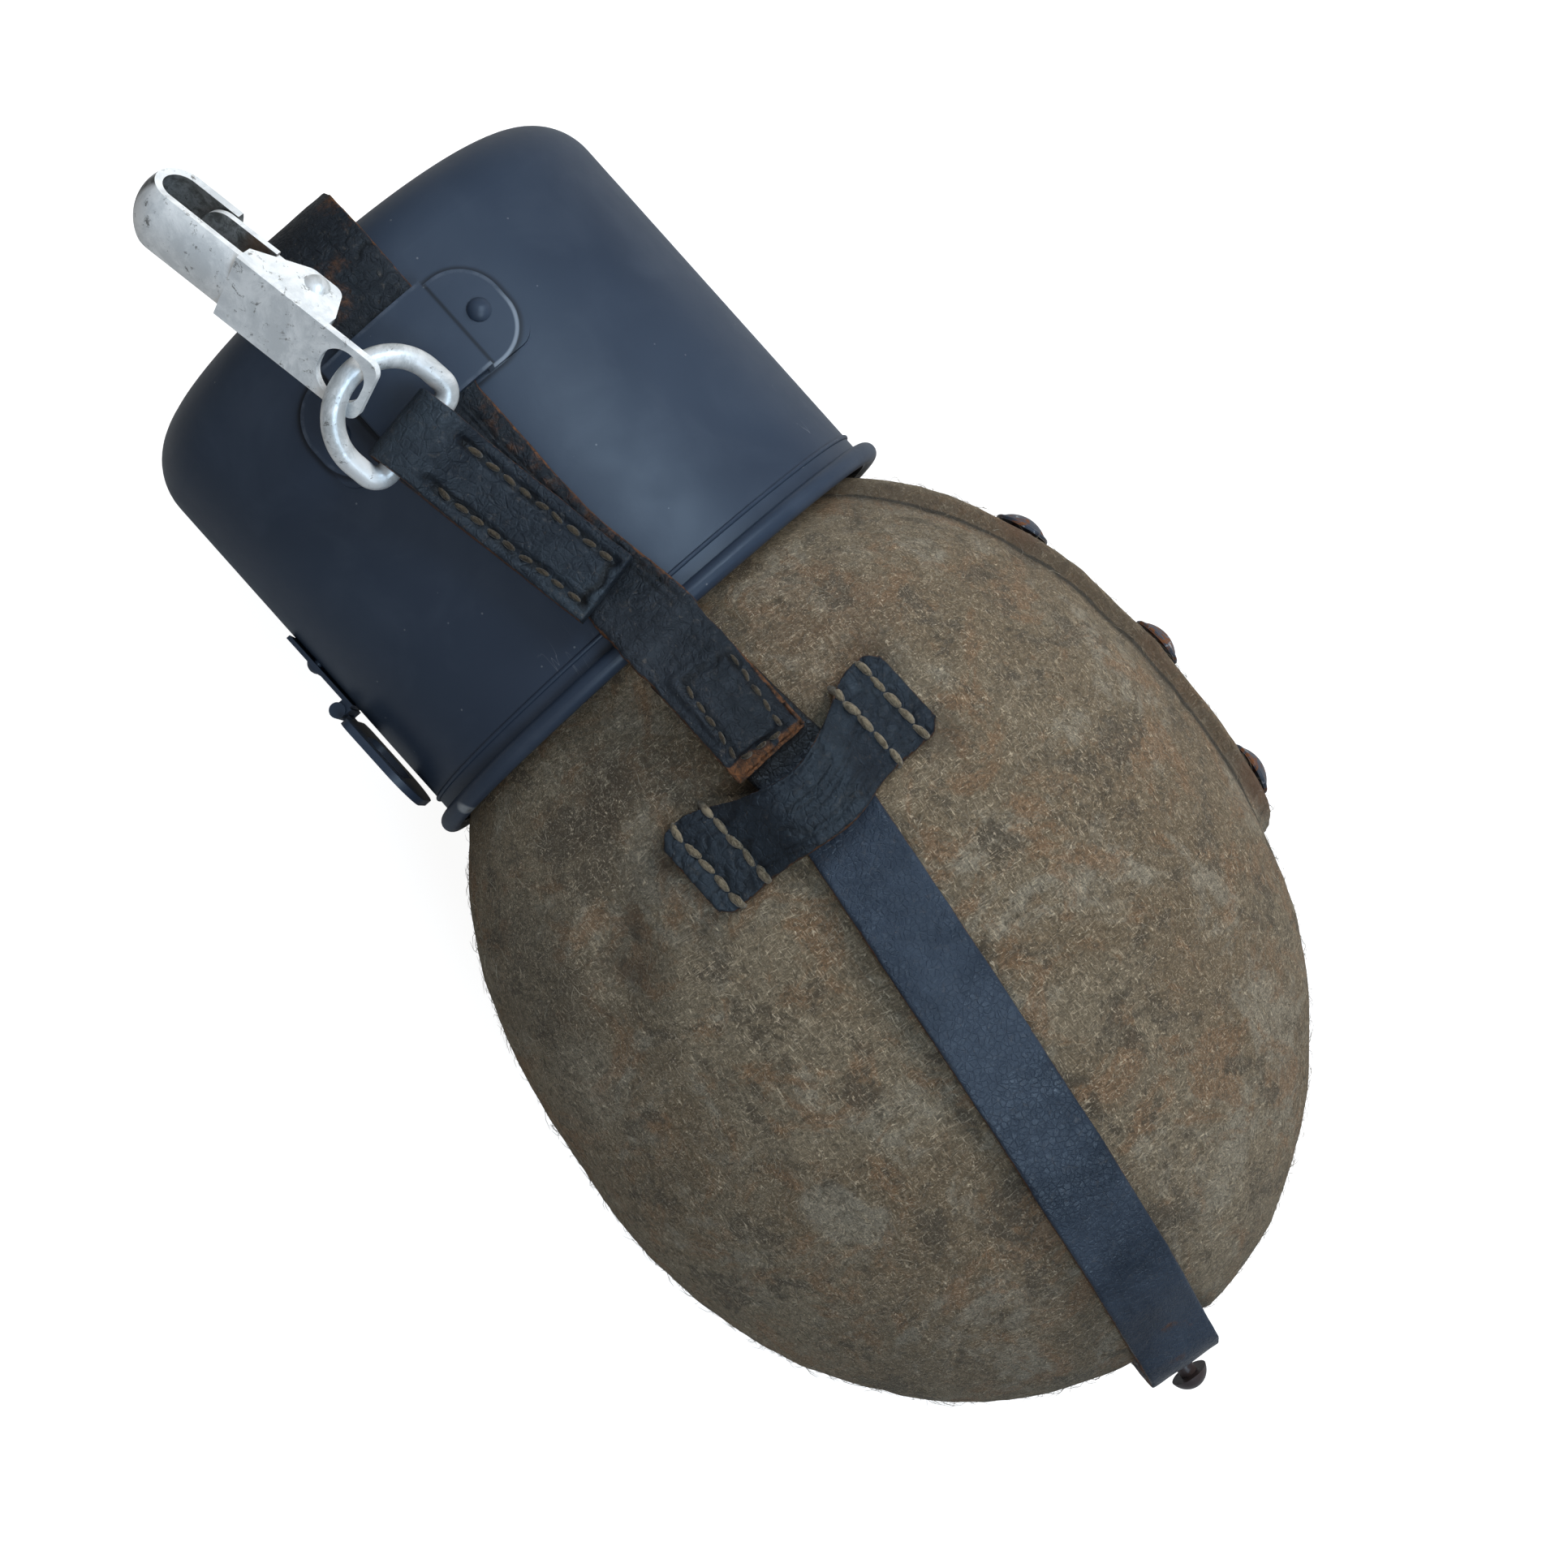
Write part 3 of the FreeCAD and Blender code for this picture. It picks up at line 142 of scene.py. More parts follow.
def tab_at(x, y, z):
    """Row-frame point of a point in the tab's frame."""
    return at(*(tab_turn @ Vector((x, y, z)) + TAB_ORIGIN))


def to_cup(p):
    """Points in the flask's frame, seen from the leaning cup."""
    pivot = np.array(cup_pivot)
    return (p - pivot - np.array(cup_slip)) @ np.array(cup_turn) + pivot


def to_tab(p):
    """Points in the flask's frame, seen from the tab."""
    return (p - np.array(TAB_ORIGIN)) @ np.array(tab_turn)


# Curves and noise for shaping


def hashed(cell, seed):
    """A random number from -1 to 1 for each whole-numbered cell."""
    h = cell[:, 0] * 374761393 + cell[:, 1] * 668265263 + cell[:, 2] * 2147483647 + seed * 1274126177
    h = (h ^ (h >> 13)) & 0xFFFFFFFF
    h = (h * 1103515245 + 12345) & 0xFFFFFFFF
    h = (h ^ (h >> 16)) & 0xFFFFFF
    return h / 0xFFFFFF * 2 - 1


def lumps(p, size, seed):
    """Smooth noise from -1 to 1 with lumps of about that size, in the units of p."""
    q = p / size
    base = np.floor(q)
    f = q - base
    f = f * f * (3 - 2 * f)
    base = base.astype(np.int64)
    total = np.zeros(len(p))
    for i in (0, 1):
        for j in (0, 1):
            for k in (0, 1):
                w = 1.0
                for side, share in zip((i, j, k), f.T):
                    w = w * (share if side else 1 - share)
                total += w * hashed(base + np.array((i, j, k)), seed)
    return total


def step(x, low, high):
    """Rises smoothly from 0 at low to 1 at high."""
    t = np.clip((x - low) / (high - low), 0, 1)
    return t * t * (3 - 2 * t)


def fall(x, low, high):
    """Falls smoothly from 1 at low to 0 at high."""
    return 1 - step(x, low, high)


def bell(x, width):
    return np.exp(-(x / width) ** 2)


def bump_at(p, x, y, radius):
    """A round bell of height 1 about a point seen from the front."""
    return bell(np.hypot(p[:, 0] - x, p[:, 1] - y), radius)


def on_front(p, low=20.0, high=30.0):
    """1 on the object's front side, fading to 0 towards its back."""
    return step(p[:, 2], low, high)


# Materials


class Shader:
    """A node material written as nested calls."""

    def __init__(self, name, **sockets):
        self.material = bpy.data.materials.new(name)
        self.material.use_nodes = True
        self.tree = self.material.node_tree
        self.shader = self.tree.nodes["Principled BSDF"]
        for key, value in sockets.items():
            self.shader.inputs[key.replace("_", " ")].default_value = value
        self.place = self.node("ShaderNodeTexCoord").outputs["Object"]

    def feed(self, socket, value):
        if isinstance(value, bpy.types.NodeSocket):
            self.tree.links.new(value, socket)
        else:
            socket.default_value = value

    def node(self, kind, settings=None, **inputs):
        """A node; its inputs are given by name, or as i0, i1 and so on by number."""
        made = self.tree.nodes.new(kind)
        for key, value in (settings or {}).items():
            setattr(made, key, value)
        for key, value in inputs.items():
            by_number = key[0] == "i" and key[1:].isdigit()
            self.feed(made.inputs[int(key[1:]) if by_number else key.replace("_", " ")], value)
        return made

    def noise(self, scale, detail=4.0, rough=0.55, distortion=0.0, place=None):
        made = self.node("ShaderNodeTexNoise", Vector=place or self.place, Scale=scale, Detail=detail,
                         Roughness=rough, Distortion=distortion)
        return made.outputs["Fac"]

    def cells(self, scale, feature="F1"):
        made = self.node("ShaderNodeTexVoronoi", {"feature": feature}, Vector=self.place, Scale=scale)
        return made.outputs["Distance"]

    def stretched(self, x, y, z, turn):
        """The place for a noise that is drawn out along an axis and turned."""
        made = self.node("ShaderNodeMapping", Vector=self.place, Scale=(x, y, z), Rotation=(0, 0, turn))
        return made.outputs["Vector"]

    def ramp(self, value, low, high, start=0.0, end=1.0):
        """Goes smoothly from start to end while the value goes from low to high."""
        made = self.node("ShaderNodeMapRange", {"interpolation_type": "SMOOTHSTEP"}, Value=value)
        for key, number in zip(("From Min", "From Max", "To Min", "To Max"), (low, high, start, end)):
            made.inputs[key].default_value = number
        return made.outputs["Result"]

    def mix(self, share, a, b):
        """Colour a with that share of colour b."""
        made = self.node("ShaderNodeMix", {"data_type": "RGBA"}, i0=share)
        for index, value in ((6, a), (7, b)):
            self.feed(made.inputs[index], (*value, 1.0) if isinstance(value, tuple) else value)
        return made.outputs[2]

    def layered(self, colour, *layers):
        """The colour with tints laid over it, each by a ramp of its noise."""
        for value, low, high, start, end, tint in layers:
            colour = self.mix(self.ramp(value, low, high, start, end), colour, tint)
        return colour

    def math(self, operation, a, b=0.0, c=0.0):
        return self.node("ShaderNodeMath", {"operation": operation}, i0=a, i1=b, i2=c).outputs[0]

    def times(self, a, b):
        return self.math("MULTIPLY", a, b)

    def minus(self, a, b):
        return self.math("SUBTRACT", a, b)

    def off(self, a, b=0.0):
        """How far a is from b, to either side."""
        return self.math("ABSOLUTE", self.minus(a, b))

    def attribute(self, name):
        return self.node("ShaderNodeAttribute", {"attribute_name": name}).outputs["Fac"]

    def axis(self, index):
        return self.node("ShaderNodeSeparateXYZ", Vector=self.place).outputs[index]

    def vector(self, operation, a, b):
        return self.node("ShaderNodeVectorMath", {"operation": operation}, i0=a, i1=b)

    def along(self, point, direction, vector=None):
        """Distance of a point on the piece from that row-frame point, measured along the direction."""
        offset = self.vector("SUBTRACT", vector or self.place, tuple(point)).outputs["Vector"]
        return self.vector("DOT_PRODUCT", offset, tuple(direction)).outputs["Value"]

    def facing(self, direction):
        """How much the surface faces that way, from -1 to 1."""
        normal = self.node("ShaderNodeTexCoord").outputs["Normal"]
        return self.along((0, 0, 0), direction, normal)

    def spot(self, point, radius, fade):
        """1 within radius of a row-frame point, falling to 0 over fade, in metres."""
        far = self.vector("DISTANCE", self.place, tuple(point)).outputs["Value"]
        return self.ramp(far, radius, radius + fade, 1.0, 0.0)

    def bump(self, height, strength, distance, below=None):
        made = self.node("ShaderNodeBump", Height=height, Strength=strength, Distance=distance)
        if below is not None:
            self.tree.links.new(below, made.inputs["Normal"])
        return made.outputs["Normal"]

    def finish(self, colour, rough=None, normal=None, metal=None):
        given = {"Base Color": colour, "Roughness": rough, "Normal": normal, "Metallic": metal}
        for name, value in given.items():
            if value is not None:
                self.tree.links.new(value, self.shader.inputs[name])
        return self.material


SNAP_PLACES = [sum(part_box(f"snap_cap_{n}"), Vector()) / 2 for n in (1, 2, 3)]

# place (mm), radius (m), strength and colour of the broad stains on the felt
FELT_STAINS = (
    ((-26, 137, 34), 0.024, 1.0, (0.050, 0.031, 0.017)),
    ((21, 147, 34), 0.020, 1.0, (0.125, 0.060, 0.025)),
    ((-52, 120, 18), 0.022, 0.9, (0.070, 0.055, 0.038)),
    ((-55, 101, 18), 0.014, 0.70, (0.330, 0.300, 0.235)),
)


def felt_material():
    """Matted wool: olive and grey fibres with rusty brown patches, with painted shadow along the flap's edge
    and painted shade where the felt is marked dark.
    """
    s = Shader("felt", Sheen_Weight=0.25, Sheen_Roughness=0.6, Specular_IOR_Level=0.1, Roughness=0.95)
    s.shader.inputs["Sheen Tint"].default_value = (0.8, 0.75, 0.65, 1.0)
    broad = s.noise(22.0, 3.0, 0.5, 0.6)
    worn = s.noise(48.0, 9.0, 0.72, 0.5)
    rusty = s.noise(75.0, 8.0, 0.72, 0.7)
    dirt = s.noise(95.0, 8.0, 0.72, 0.4)
    mottle = s.noise(520.0, 5.0, 0.7, 2.0)
    fibres = s.math("MAXIMUM",
                    s.noise(1500.0, 4.0, 0.7, 3.0, s.stretched(1.0, 0.22, 1.0, 0.5)),
                    s.noise(1500.0, 4.0, 0.7, 3.0, s.stretched(0.22, 1.0, 1.0, -0.3)))
    colour = s.layered(
        (0.175, 0.122, 0.068),
        (broad, 0.40, 0.60, 0.0, 1.0, (0.225, 0.178, 0.115)),
        (worn, 0.50, 0.60, 0.0, 0.7, (0.33, 0.30, 0.235)),
        (rusty, 0.50, 0.60, 0.0, 0.75, (0.240, 0.122, 0.052)))
    for place, radius, strength, stain in FELT_STAINS:
        patch = s.times(s.spot(at(*place), radius * 0.35, radius * 0.65),
                        s.ramp(worn, 0.36, 0.56, strength, strength * 0.3))
        colour = s.mix(patch, colour, stain)
    colour = s.layered(
        colour,
        (dirt, 0.40, 0.47, 0.82, 0.0, (0.062, 0.046, 0.030)),
        (mottle, 0.36, 0.50, 0.65, 0.0, (0.058, 0.044, 0.028)),
        (mottle, 0.53, 0.67, 0.0, 0.45, (0.44, 0.37, 0.26)),
        (fibres, 0.48, 0.54, 0.55, 0.0, (0.070, 0.052, 0.032)),
        (fibres, 0.57, 0.66, 0.0, 0.75, (0.64, 0.53, 0.38)))
    raw = s.times(s.attribute("raw"), s.ramp(mottle, 0.4, 0.6, 0.5, 0.9))
    colour = s.mix(raw, colour, (0.080, 0.053, 0.031))
    for place in SNAP_PLACES:
        rust = s.times(s.spot(place, 0.0065, 0.005), s.ramp(worn, 0.42, 0.56, 0.4, 0.95))
        colour = s.mix(rust, colour, (0.105, 0.045, 0.020))
    # painted shadow: a ragged dark line where the flap's edge lies on the felt, with softer painted shade
    # beside it
    seam = s.times(s.minus(s.attribute("seam"), 0.5), SEAM_SPAN)
    ragged = s.math("ABSOLUTE", s.math("MULTIPLY_ADD", mottle, 0.9, s.minus(seam, 0.45)))
    line = s.ramp(ragged, 0.35, 1.0, 0.95, 0.0)
    shade = s.times(s.ramp(seam, -2.4, -0.4, 0.0, 0.45), s.ramp(seam, -0.4, 0.4, 1.0, 0.0))
    colour = s.mix(s.math("MAXIMUM", line, shade), colour, (0.016, 0.012, 0.008))
    # painted shade where shape_felt marks the felt dark: the hollow, round the puckers and towards the cup
    colour = s.mix(s.attribute("dark"), colour, (0.030, 0.023, 0.016))
    return s.finish(colour, normal=s.bump(fibres, 0.9, 0.0009, s.bump(mottle, 0.7, 0.0012)))


def leather_material(name, base, shine, rough, grain, scuff):
    """Black leather with dust and flecks, whose raw edges and flesh side have gone rusty brown, with broad
    patches of painted sheen and painted shade where it is marked dark.
    """
    s = Shader(name, Specular_IOR_Level=0.32)
    broad = s.noise(45.0, 4.0, 0.6, 0.4)
    dust = s.noise(700.0, 6.0, 0.75, 0.6)
    # painted sheen: broad patches of the lighter shine colour; then real dust and flecks
    colour = s.layered(
        base,
        (broad, 0.35, 0.65, 0.0, 1.0, shine),
        (dust, 0.55, 0.75, 0.0, scuff, (0.15, 0.125, 0.10)),
        (s.cells(420.0), 0.02, 0.055, 0.5, 0.0, (0.17, 0.14, 0.11)))
    raw = s.math("MULTIPLY_ADD", s.noise(420.0, 5.0, 0.7), 0.9, s.minus(s.attribute("raw"), 0.6))
    tan = s.ramp(s.noise(900.0, 5.0, 0.7, 1.0), 0.35, 0.65)
    brown = s.mix(tan, (0.024, 0.014, 0.009), (0.115, 0.048, 0.019))
    colour = s.mix(s.ramp(raw, 0.25, 0.6), colour, brown)
    # painted shade where the piece is marked dark: grooves, creases, cracks and gaps
    colour = s.mix(s.attribute("dark"), colour, (0.006, 0.006, 0.006))
    gloss = s.math("MULTIPLY_ADD", s.noise(90.0, 5.0, 0.65), 0.35, rough - 0.17)
    gloss = s.math("MULTIPLY_ADD", s.minus(s.noise(2200.0, 3.0, 0.7), 0.5), 0.6, gloss)
    gloss = s.math("MAXIMUM", gloss, s.times(s.attribute("raw"), 0.85))
    pores = s.bump(s.ramp(s.cells(grain, "DISTANCE_TO_EDGE"), 0.0, 0.12), 0.4, 0.00018)
    wrinkled = s.bump(s.noise(420.0, 5.0, 0.65, 0.8), 2 * scuff, 0.0010, pores)
    return s.finish(colour, gloss, s.bump(s.noise(1500.0, 4.0, 0.6), 0.45, 0.00018, wrinkled))


def paint_material():
    """Satin blue-grey paint with scratches and a chip, rubbed pale at one place on the bracket's foot; painted
    shadow runs round the foot and along the tunnel's walls, and a pale line just inside the foot's outline is
    partly rubbed paint and partly painted highlight.
    """
    s = Shader("cup_paint", Specular_IOR_Level=0.42)
    broad = s.noise(18.0, 3.0, 0.5)
    cloud = s.noise(60.0, 5.0, 0.6, 0.5)
    colour = s.layered(
        (0.019, 0.028, 0.046),
        (broad, 0.35, 0.65, 0.0, 1.0, (0.025, 0.036, 0.057)),
        (cloud, 0.45, 0.75, 0.0, 0.5, (0.036, 0.048, 0.070)),
        (s.cells(210.0), 0.025, 0.05, 0.45, 0.0, (0.20, 0.21, 0.22)))
    lines = s.noise(55.0, 2.0, 0.5, 0.2, s.stretched(7.0, 0.6, 7.0, 0.35))
    few = s.ramp(s.noise(26.0, 3.0, 0.6), 0.58, 0.68)
    scratch = s.times(s.ramp(s.off(lines, 0.63), 0.0015, 0.005, 0.6, 0.0), few)
    colour = s.mix(scratch, colour, (0.15, 0.16, 0.18))
    chip = s.spot(cup_at(-46.5, RIM_HEIGHT + 1.2, 17.0), 0.0007, 0.0012)
    colour = s.mix(chip, colour, (0.42, 0.44, 0.46))

    # the rounded outline of the bracket's foot on the cup: outline is the distance out from it
    centre = cup_at(BRACKET_X, BRACKET_Y, 0)
    x, y = (s.off(s.along(centre, cup_turn @ Vector(side))) for side in ((1, 0, 0), (0, 1, 0)))
    corners = []
    for value, half in zip((x, y), BRACKET_HALF):
        past = s.math("MAXIMUM", s.minus(value, (half - BRACKET_ROUNDING) * MM), 0.0)
        corners.append(s.times(past, past))
    outline = s.minus(s.math("SQRT", s.math("ADD", *corners)), BRACKET_ROUNDING * MM)
    front = s.ramp(s.axis(2), centre.z, centre.z + 0.01)
    outside = s.times(s.ramp(outline, 0.0, 0.0001), s.ramp(outline, 0.0002, 0.0012, 1.0, 0.0))
    wall = s.ramp(s.off(x, (TUNNEL_HALF + 0.25) * MM), 0.0002, 0.0007, 1.0, 0.0)
    wall = s.times(wall, s.ramp(outline, -0.0002, 0.0, 1.0, 0.0))
    # painted shadow along the outside of the bracket's foot and at the tunnel's walls
    contact = s.times(s.math("MAXIMUM", outside, wall), front)
    colour = s.mix(s.times(contact, 0.85), colour, (0.006, 0.007, 0.010))
    # a pale line just inside the outline: partly rubbed paint, partly painted highlight
    within = s.times(s.ramp(s.off(outline, -0.0003), 0.0001, 0.0005, 1.0, 0.0), front)
    edge = s.times(within, s.ramp(s.noise(300.0, 4.0, 0.7), 0.42, 0.6, 0.1, 0.5))
    colour = s.mix(edge, colour, (0.075, 0.090, 0.115))
    worn = s.times(s.spot(cup_at(14.5, 212.0, 36.0), 0.005, 0.006), within)
    colour = s.mix(s.times(worn, 0.5), colour, (0.26, 0.30, 0.35))
    rough = s.math("MULTIPLY_ADD", s.noise(120.0, 5.0, 0.65), 0.2, 0.34)
    return s.finish(colour, rough, s.bump(s.noise(1300.0, 4.0, 0.6), 0.12, 0.0001), chip)


def aluminium_material(name, bright, dull, rough, pits, metallic=1.0, hooked=False):
    """Bare aluminium, dulled, with grey dirt in its pits; the hook is darkened inside, partly grime and partly
    painted shade, and rusty at its root.
    """
    s = Shader(name)
    broad = s.noise(130.0, 6.0, 0.72, 0.6)
    spots = s.noise(520.0, 6.0, 0.75, 0.4)
    pit = s.ramp(spots, 0.58, 0.68)
    colour = s.mix(s.ramp(broad, 0.38, 0.62), bright, dull)
    colour = s.mix(s.times(pit, pits), colour, (0.10, 0.095, 0.085))
    metal = s.ramp(pit, 0.0, 1.0, metallic, metallic * 0.4)
    if hooked:
        start = at(*HOOK_ORIGIN)
        length, back = hook_turn @ Vector((0, 1, 0)), hook_turn @ Vector((0, 0, 1))
        deep = s.ramp(s.along(start, back), -0.0024, -0.0012, 1.0, 0.0)
        inward = s.math("MAXIMUM", s.ramp(s.facing(back), 0.1, 0.45),
                        s.ramp(s.facing(length), -0.45, -0.15, 1.0, 0.0))
        # grime and painted shade on the hook's inward faces
        grime_and_shade = s.times(s.times(deep, inward), s.ramp(spots, 0.35, 0.65, 0.97, 0.7))
        colour = s.mix(grime_and_shade, colour, (0.040, 0.040, 0.034))
        root = s.times(deep, s.ramp(s.off(s.along(start, length), 0.0235), 0.001, 0.004, 0.8, 0.0))
        colour = s.mix(s.times(root, inward), colour, (0.10, 0.045, 0.015))
        metal = s.times(metal, s.minus(1.0, grime_and_shade))
    gloss = s.math("MULTIPLY_ADD", spots, 0.35, rough - 0.12)
    dents = s.bump(s.noise(300.0, 4.0, 0.6), 0.25, 0.0004)
    return s.finish(colour, gloss, s.bump(spots, 0.35, 0.0002, dents), metal)


def steel_material(name, base, worn, rust, worn_share, rust_share):
    """Blackened steel rubbed to bare metal in places and rusty in others."""
    s = Shader(name, Specular_IOR_Level=0.5)
    old = s.noise(380.0, 6.0, 0.7, 1.0)
    bare = s.ramp(s.noise(650.0, 5.0, 0.7, 0.5), 0.62 - worn_share, 0.72 - worn_share)
    rusty = s.ramp(old, 0.62 - rust_share, 0.7 - rust_share)
    colour = s.mix(rusty, s.mix(bare, base, worn), rust)
    metal = s.times(bare, s.minus(1.0, rusty))
    return s.finish(colour, s.ramp(rusty, 0.0, 1.0, 0.38, 0.9), s.bump(old, 0.4, 0.0003), metal)


def thread_material(name, dark, light):
    """Twisted thread, or dull rubber."""
    s = Shader(name, Roughness=0.9, Specular_IOR_Level=0.15, Sheen_Weight=0.2)
    twist = s.noise(1600.0, 4.0, 0.7, 1.5, s.stretched(1.0, 0.4, 1.0, 0.4))
    return s.finish(s.mix(s.ramp(twist, 0.35, 0.62), dark, light), normal=s.bump(twist, 0.7, 0.0003))


def fibre_material():
    """Loose wool, from brown to pale."""
    s = Shader("fibre", Roughness=0.8, Specular_IOR_Level=0.2, Sheen_Weight=0.2)
    share = s.ramp(s.noise(160.0, 4.0, 0.7), 0.35, 0.65)
    return s.finish(s.mix(share, (0.10, 0.075, 0.045), (0.25, 0.215, 0.16)))


FELT = felt_material()
SMOOTH_LEATHER = leather_material("smooth_leather", (0.012, 0.018, 0.029), (0.027, 0.038, 0.057),
                                  0.34, 900.0, 0.2)
WORN_LEATHER = leather_material("worn_leather", (0.007, 0.009, 0.012), (0.015, 0.018, 0.023),
                                0.5, 700.0, 0.4)
CREASED_LEATHER = leather_material("creased_leather", (0.008, 0.011, 0.016), (0.018, 0.025, 0.033),
                                   0.44, 520.0, 0.3)
PAINT = paint_material()
RING_METAL = aluminium_material("ring_aluminium", (0.84, 0.85, 0.85), (0.52, 0.54, 0.54), 0.34, 0.9, 0.5)
HOOK_METAL = aluminium_material("hook_aluminium", (0.93, 0.94, 0.94), (0.70, 0.72, 0.73), 0.38, 0.9, 0.30, True)
FLASK_METAL = aluminium_material("flask_aluminium", (0.55, 0.55, 0.56), (0.42, 0.42, 0.43), 0.5, 0.3)
SNAP_STEEL = steel_material("snap_steel", (0.030, 0.036, 0.050), (0.55, 0.56, 0.58), (0.14, 0.055, 0.022),
                            0.05, 0.13)
DARK_STEEL = steel_material("dark_steel", (0.040, 0.030, 0.030), (0.20, 0.18, 0.18), (0.11, 0.05, 0.025),
                            -0.05, 0.0)
GASKET = thread_material("gasket_rubber", (0.03, 0.02, 0.018), (0.05, 0.035, 0.03))
TAN_THREAD = thread_material("tan_thread", (0.055, 0.042, 0.027), (0.17, 0.14, 0.095))
DARK_THREAD = thread_material("dark_thread", (0.014, 0.011, 0.008), (0.055, 0.043, 0.028))
FIBRE = fibre_material()

CAD_FINISHES = {
    PAINT: ("cup_shell", "strap_bracket", "bracket_rivet_left", "bracket_rivet_right", "handle_lug",
            "lug_rivet_back", "lug_rivet_front", "handle_pin", "cup_handle"),
    FLASK_METAL: ("flask_body", "screw_cap"),
    GASKET: ("cap_gasket",),
    RING_METAL: ("carrying_ring", "gate_rivet"),
    HOOK_METAL: ("hook_body", "hook_gate"),
    SNAP_STEEL: ("snap_cap_1", "snap_cap_2", "snap_cap_3", "snap_stud_1", "snap_stud_2", "snap_stud_3"),
    DARK_STEEL: ("gate_spring", "bottom_stud", "buckle_frame", "buckle_roller", "buckle_prong"),
}
for material, nodes in CAD_FINISHES.items():
    for node in nodes:
        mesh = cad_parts[node].data
        mesh.materials.clear()
        mesh.materials.append(material)


# Soft pieces


def rows_of_three(items, field):
    """A vector of each vertex or normal, as rows of an array."""
    values = np.zeros(len(items) * 3, np.float32)
    items.foreach_get(field, values)
    return values.reshape(-1, 3).astype(float)


def remade(node, name, voxel, passes, shape, material):
    """A soft piece: the node's solid remeshed, its edges rounded, then shaped by shape(points, normals, marks).

    The voxel is in millimetres. The marks dark, for painted shade, and raw, and the felt's seam, which places
    painted shadow along the flap's edge, go to the materials.
    """
    piece = bpy.data.objects.new(name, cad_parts[node].data.copy())
    scene.collection.objects.link(piece)
    remesh = piece.modifiers.new("remesh", "REMESH")
    remesh.mode = "VOXEL"
    remesh.voxel_size = voxel * MM
    soften = piece.modifiers.new("soften", "SMOOTH")
    soften.factor = 0.5
    soften.iterations = passes
    mesh = bpy.data.meshes.new_from_object(piece.evaluated_get(bpy.context.evaluated_depsgraph_get()))
    piece.modifiers.clear()
    piece.data = mesh
    points = (rows_of_three(mesh.vertices, "co") - origin_row) / MM
    normals = rows_of_three(mesh.vertex_normals, "vector")
    marks = {"dark": np.zeros(len(points)), "raw": np.zeros(len(points))}
    points = shape(points, normals, marks)
    mesh.vertices.foreach_set("co", (points * MM + origin_row).astype(np.float32).ravel())
    for key, values in marks.items():
        mark = mesh.attributes.new(key, "FLOAT", "POINT")
        mark.data.foreach_set("value", np.clip(values, 0, 1).astype(np.float32))
    mesh.materials.clear()
    mesh.materials.append(material)
    mesh.polygons.foreach_set("use_smooth", [True] * len(mesh.polygons))
    mesh.update()
    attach(piece, "canteen")
    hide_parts(node)
    return piece


def flap_seam(p):
    """Distance from the line where the flap's front edge lies on the felt, as 0 to 1 over SEAM_SPAN."""
    right = p[:, 0] > FLAP_RIGHT
    beside = right & (p[:, 2] > FLAP_REACH + 2.5) & (p[:, 2] < FLAP_REACH + 5.0)
    heights = np.linspace(FLAP_LOW, FLAP_HIGH, 27)
    reach = []
    for h in heights:
        near = beside & (np.abs(p[:, 1] - h) < 2.0)
        reach.append(p[near, 0].max() if near.any() else 0.0)
    across = np.interp(p[:, 1], heights, np.array(reach)) + 0.5
    far = (p[:, 0] - across) - (p[:, 2] - FLAP_REACH)
    past = np.maximum(FLAP_LOW - p[:, 1], p[:, 1] - FLAP_HIGH)
    far = np.where(right & (p[:, 2] > FLAP_REACH - 4), far - 2 * np.maximum(past, 0), -4.0)
    return np.clip(0.5 + far / SEAM_SPAN, 0, 1)


stud_low, stud_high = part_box("bottom_stud")
stud_place = ((stud_low + stud_high) / 2 - origin) / MM


def stud_dip(p):
    """How far the stud pulls the bottom in, round its shaft."""
    far = np.hypot(p[:, 0] - stud_place.x, p[:, 2] - stud_place.z)
    return DIP_DEPTH * bell(far, DIP_RADIUS) * (p[:, 1] < 6)


def shape_felt(p, n, marks):
    """Soft lumps, a hollow left of the front loop, and puckers where the loops are sewn on; painted shade is
    marked in the hollow, round the puckers and towards the cup.
    """
    outside = step(np.einsum("ij,ij->i", n, p - np.array(BODY_MIDDLE)), 0.0, 8.0)
    push = 0.55 * lumps(p, 24.0, 1) + 0.28 * lumps(p, 9.0, 2)
    push += 0.16 * lumps(p, 4.0, 3) + 0.08 * lumps(p, 2.0, 4)
    front = on_front(p, 5.0, 20.0)
    x, y = p[:, 0] - HOLLOW[0], p[:, 1] - HOLLOW[1]
    along = x * HOLLOW_ALONG[0] + y * HOLLOW_ALONG[1]
    aside = x * HOLLOW_ALONG[1] - y * HOLLOW_ALONG[0]
    hollow = bell(along, 10.0) * bell(aside, 4.5) * front
    push -= 2.2 * hollow
    push += 1.1 * bell(along, 12.0) * bell(aside - 10.0, 4.0) * front
    push += 0.8 * bell(along, 14.0) * bell(aside + 9.0, 4.0) * front
    push += 0.5 * bump_at(p, -30.0, 108.0, 12.0) * front
    for x, y in PUCKERS:
        push -= 0.9 * bump_at(p, x, y, 2.6) * front
        # painted shade round each pucker
        marks["dark"] += 0.5 * bump_at(p, x, y, 4.5) * front
    under = fall(np.abs(p[:, 0] - 1.0), STRAP_WIDTH / 2, STRAP_WIDTH / 2 + 1.5)
    push = np.where(under > 0, push * (1 - under) - 0.25 * under, push)
    # painted shade in the hollow and towards the cup
    marks["dark"] += 0.4 * hollow * (1 + lumps(p, 3.0, 60)) + 0.25 * step(p[:, 1], 145.0, 170.0)
    marks["seam"] = flap_seam(p)
    flap_edge = (p[:, 0] > FLAP_RIGHT) & (np.abs(p[:, 2] - FLAP_REACH) < 1.8) & (p[:, 1] > 60)
    marks["raw"] += step(n[:, 2], 0.5, 0.8) * flap_edge
    moved = p + n * (push * outside)[:, None]
    moved[:, 1] += stud_dip(p) * outside
    return moved


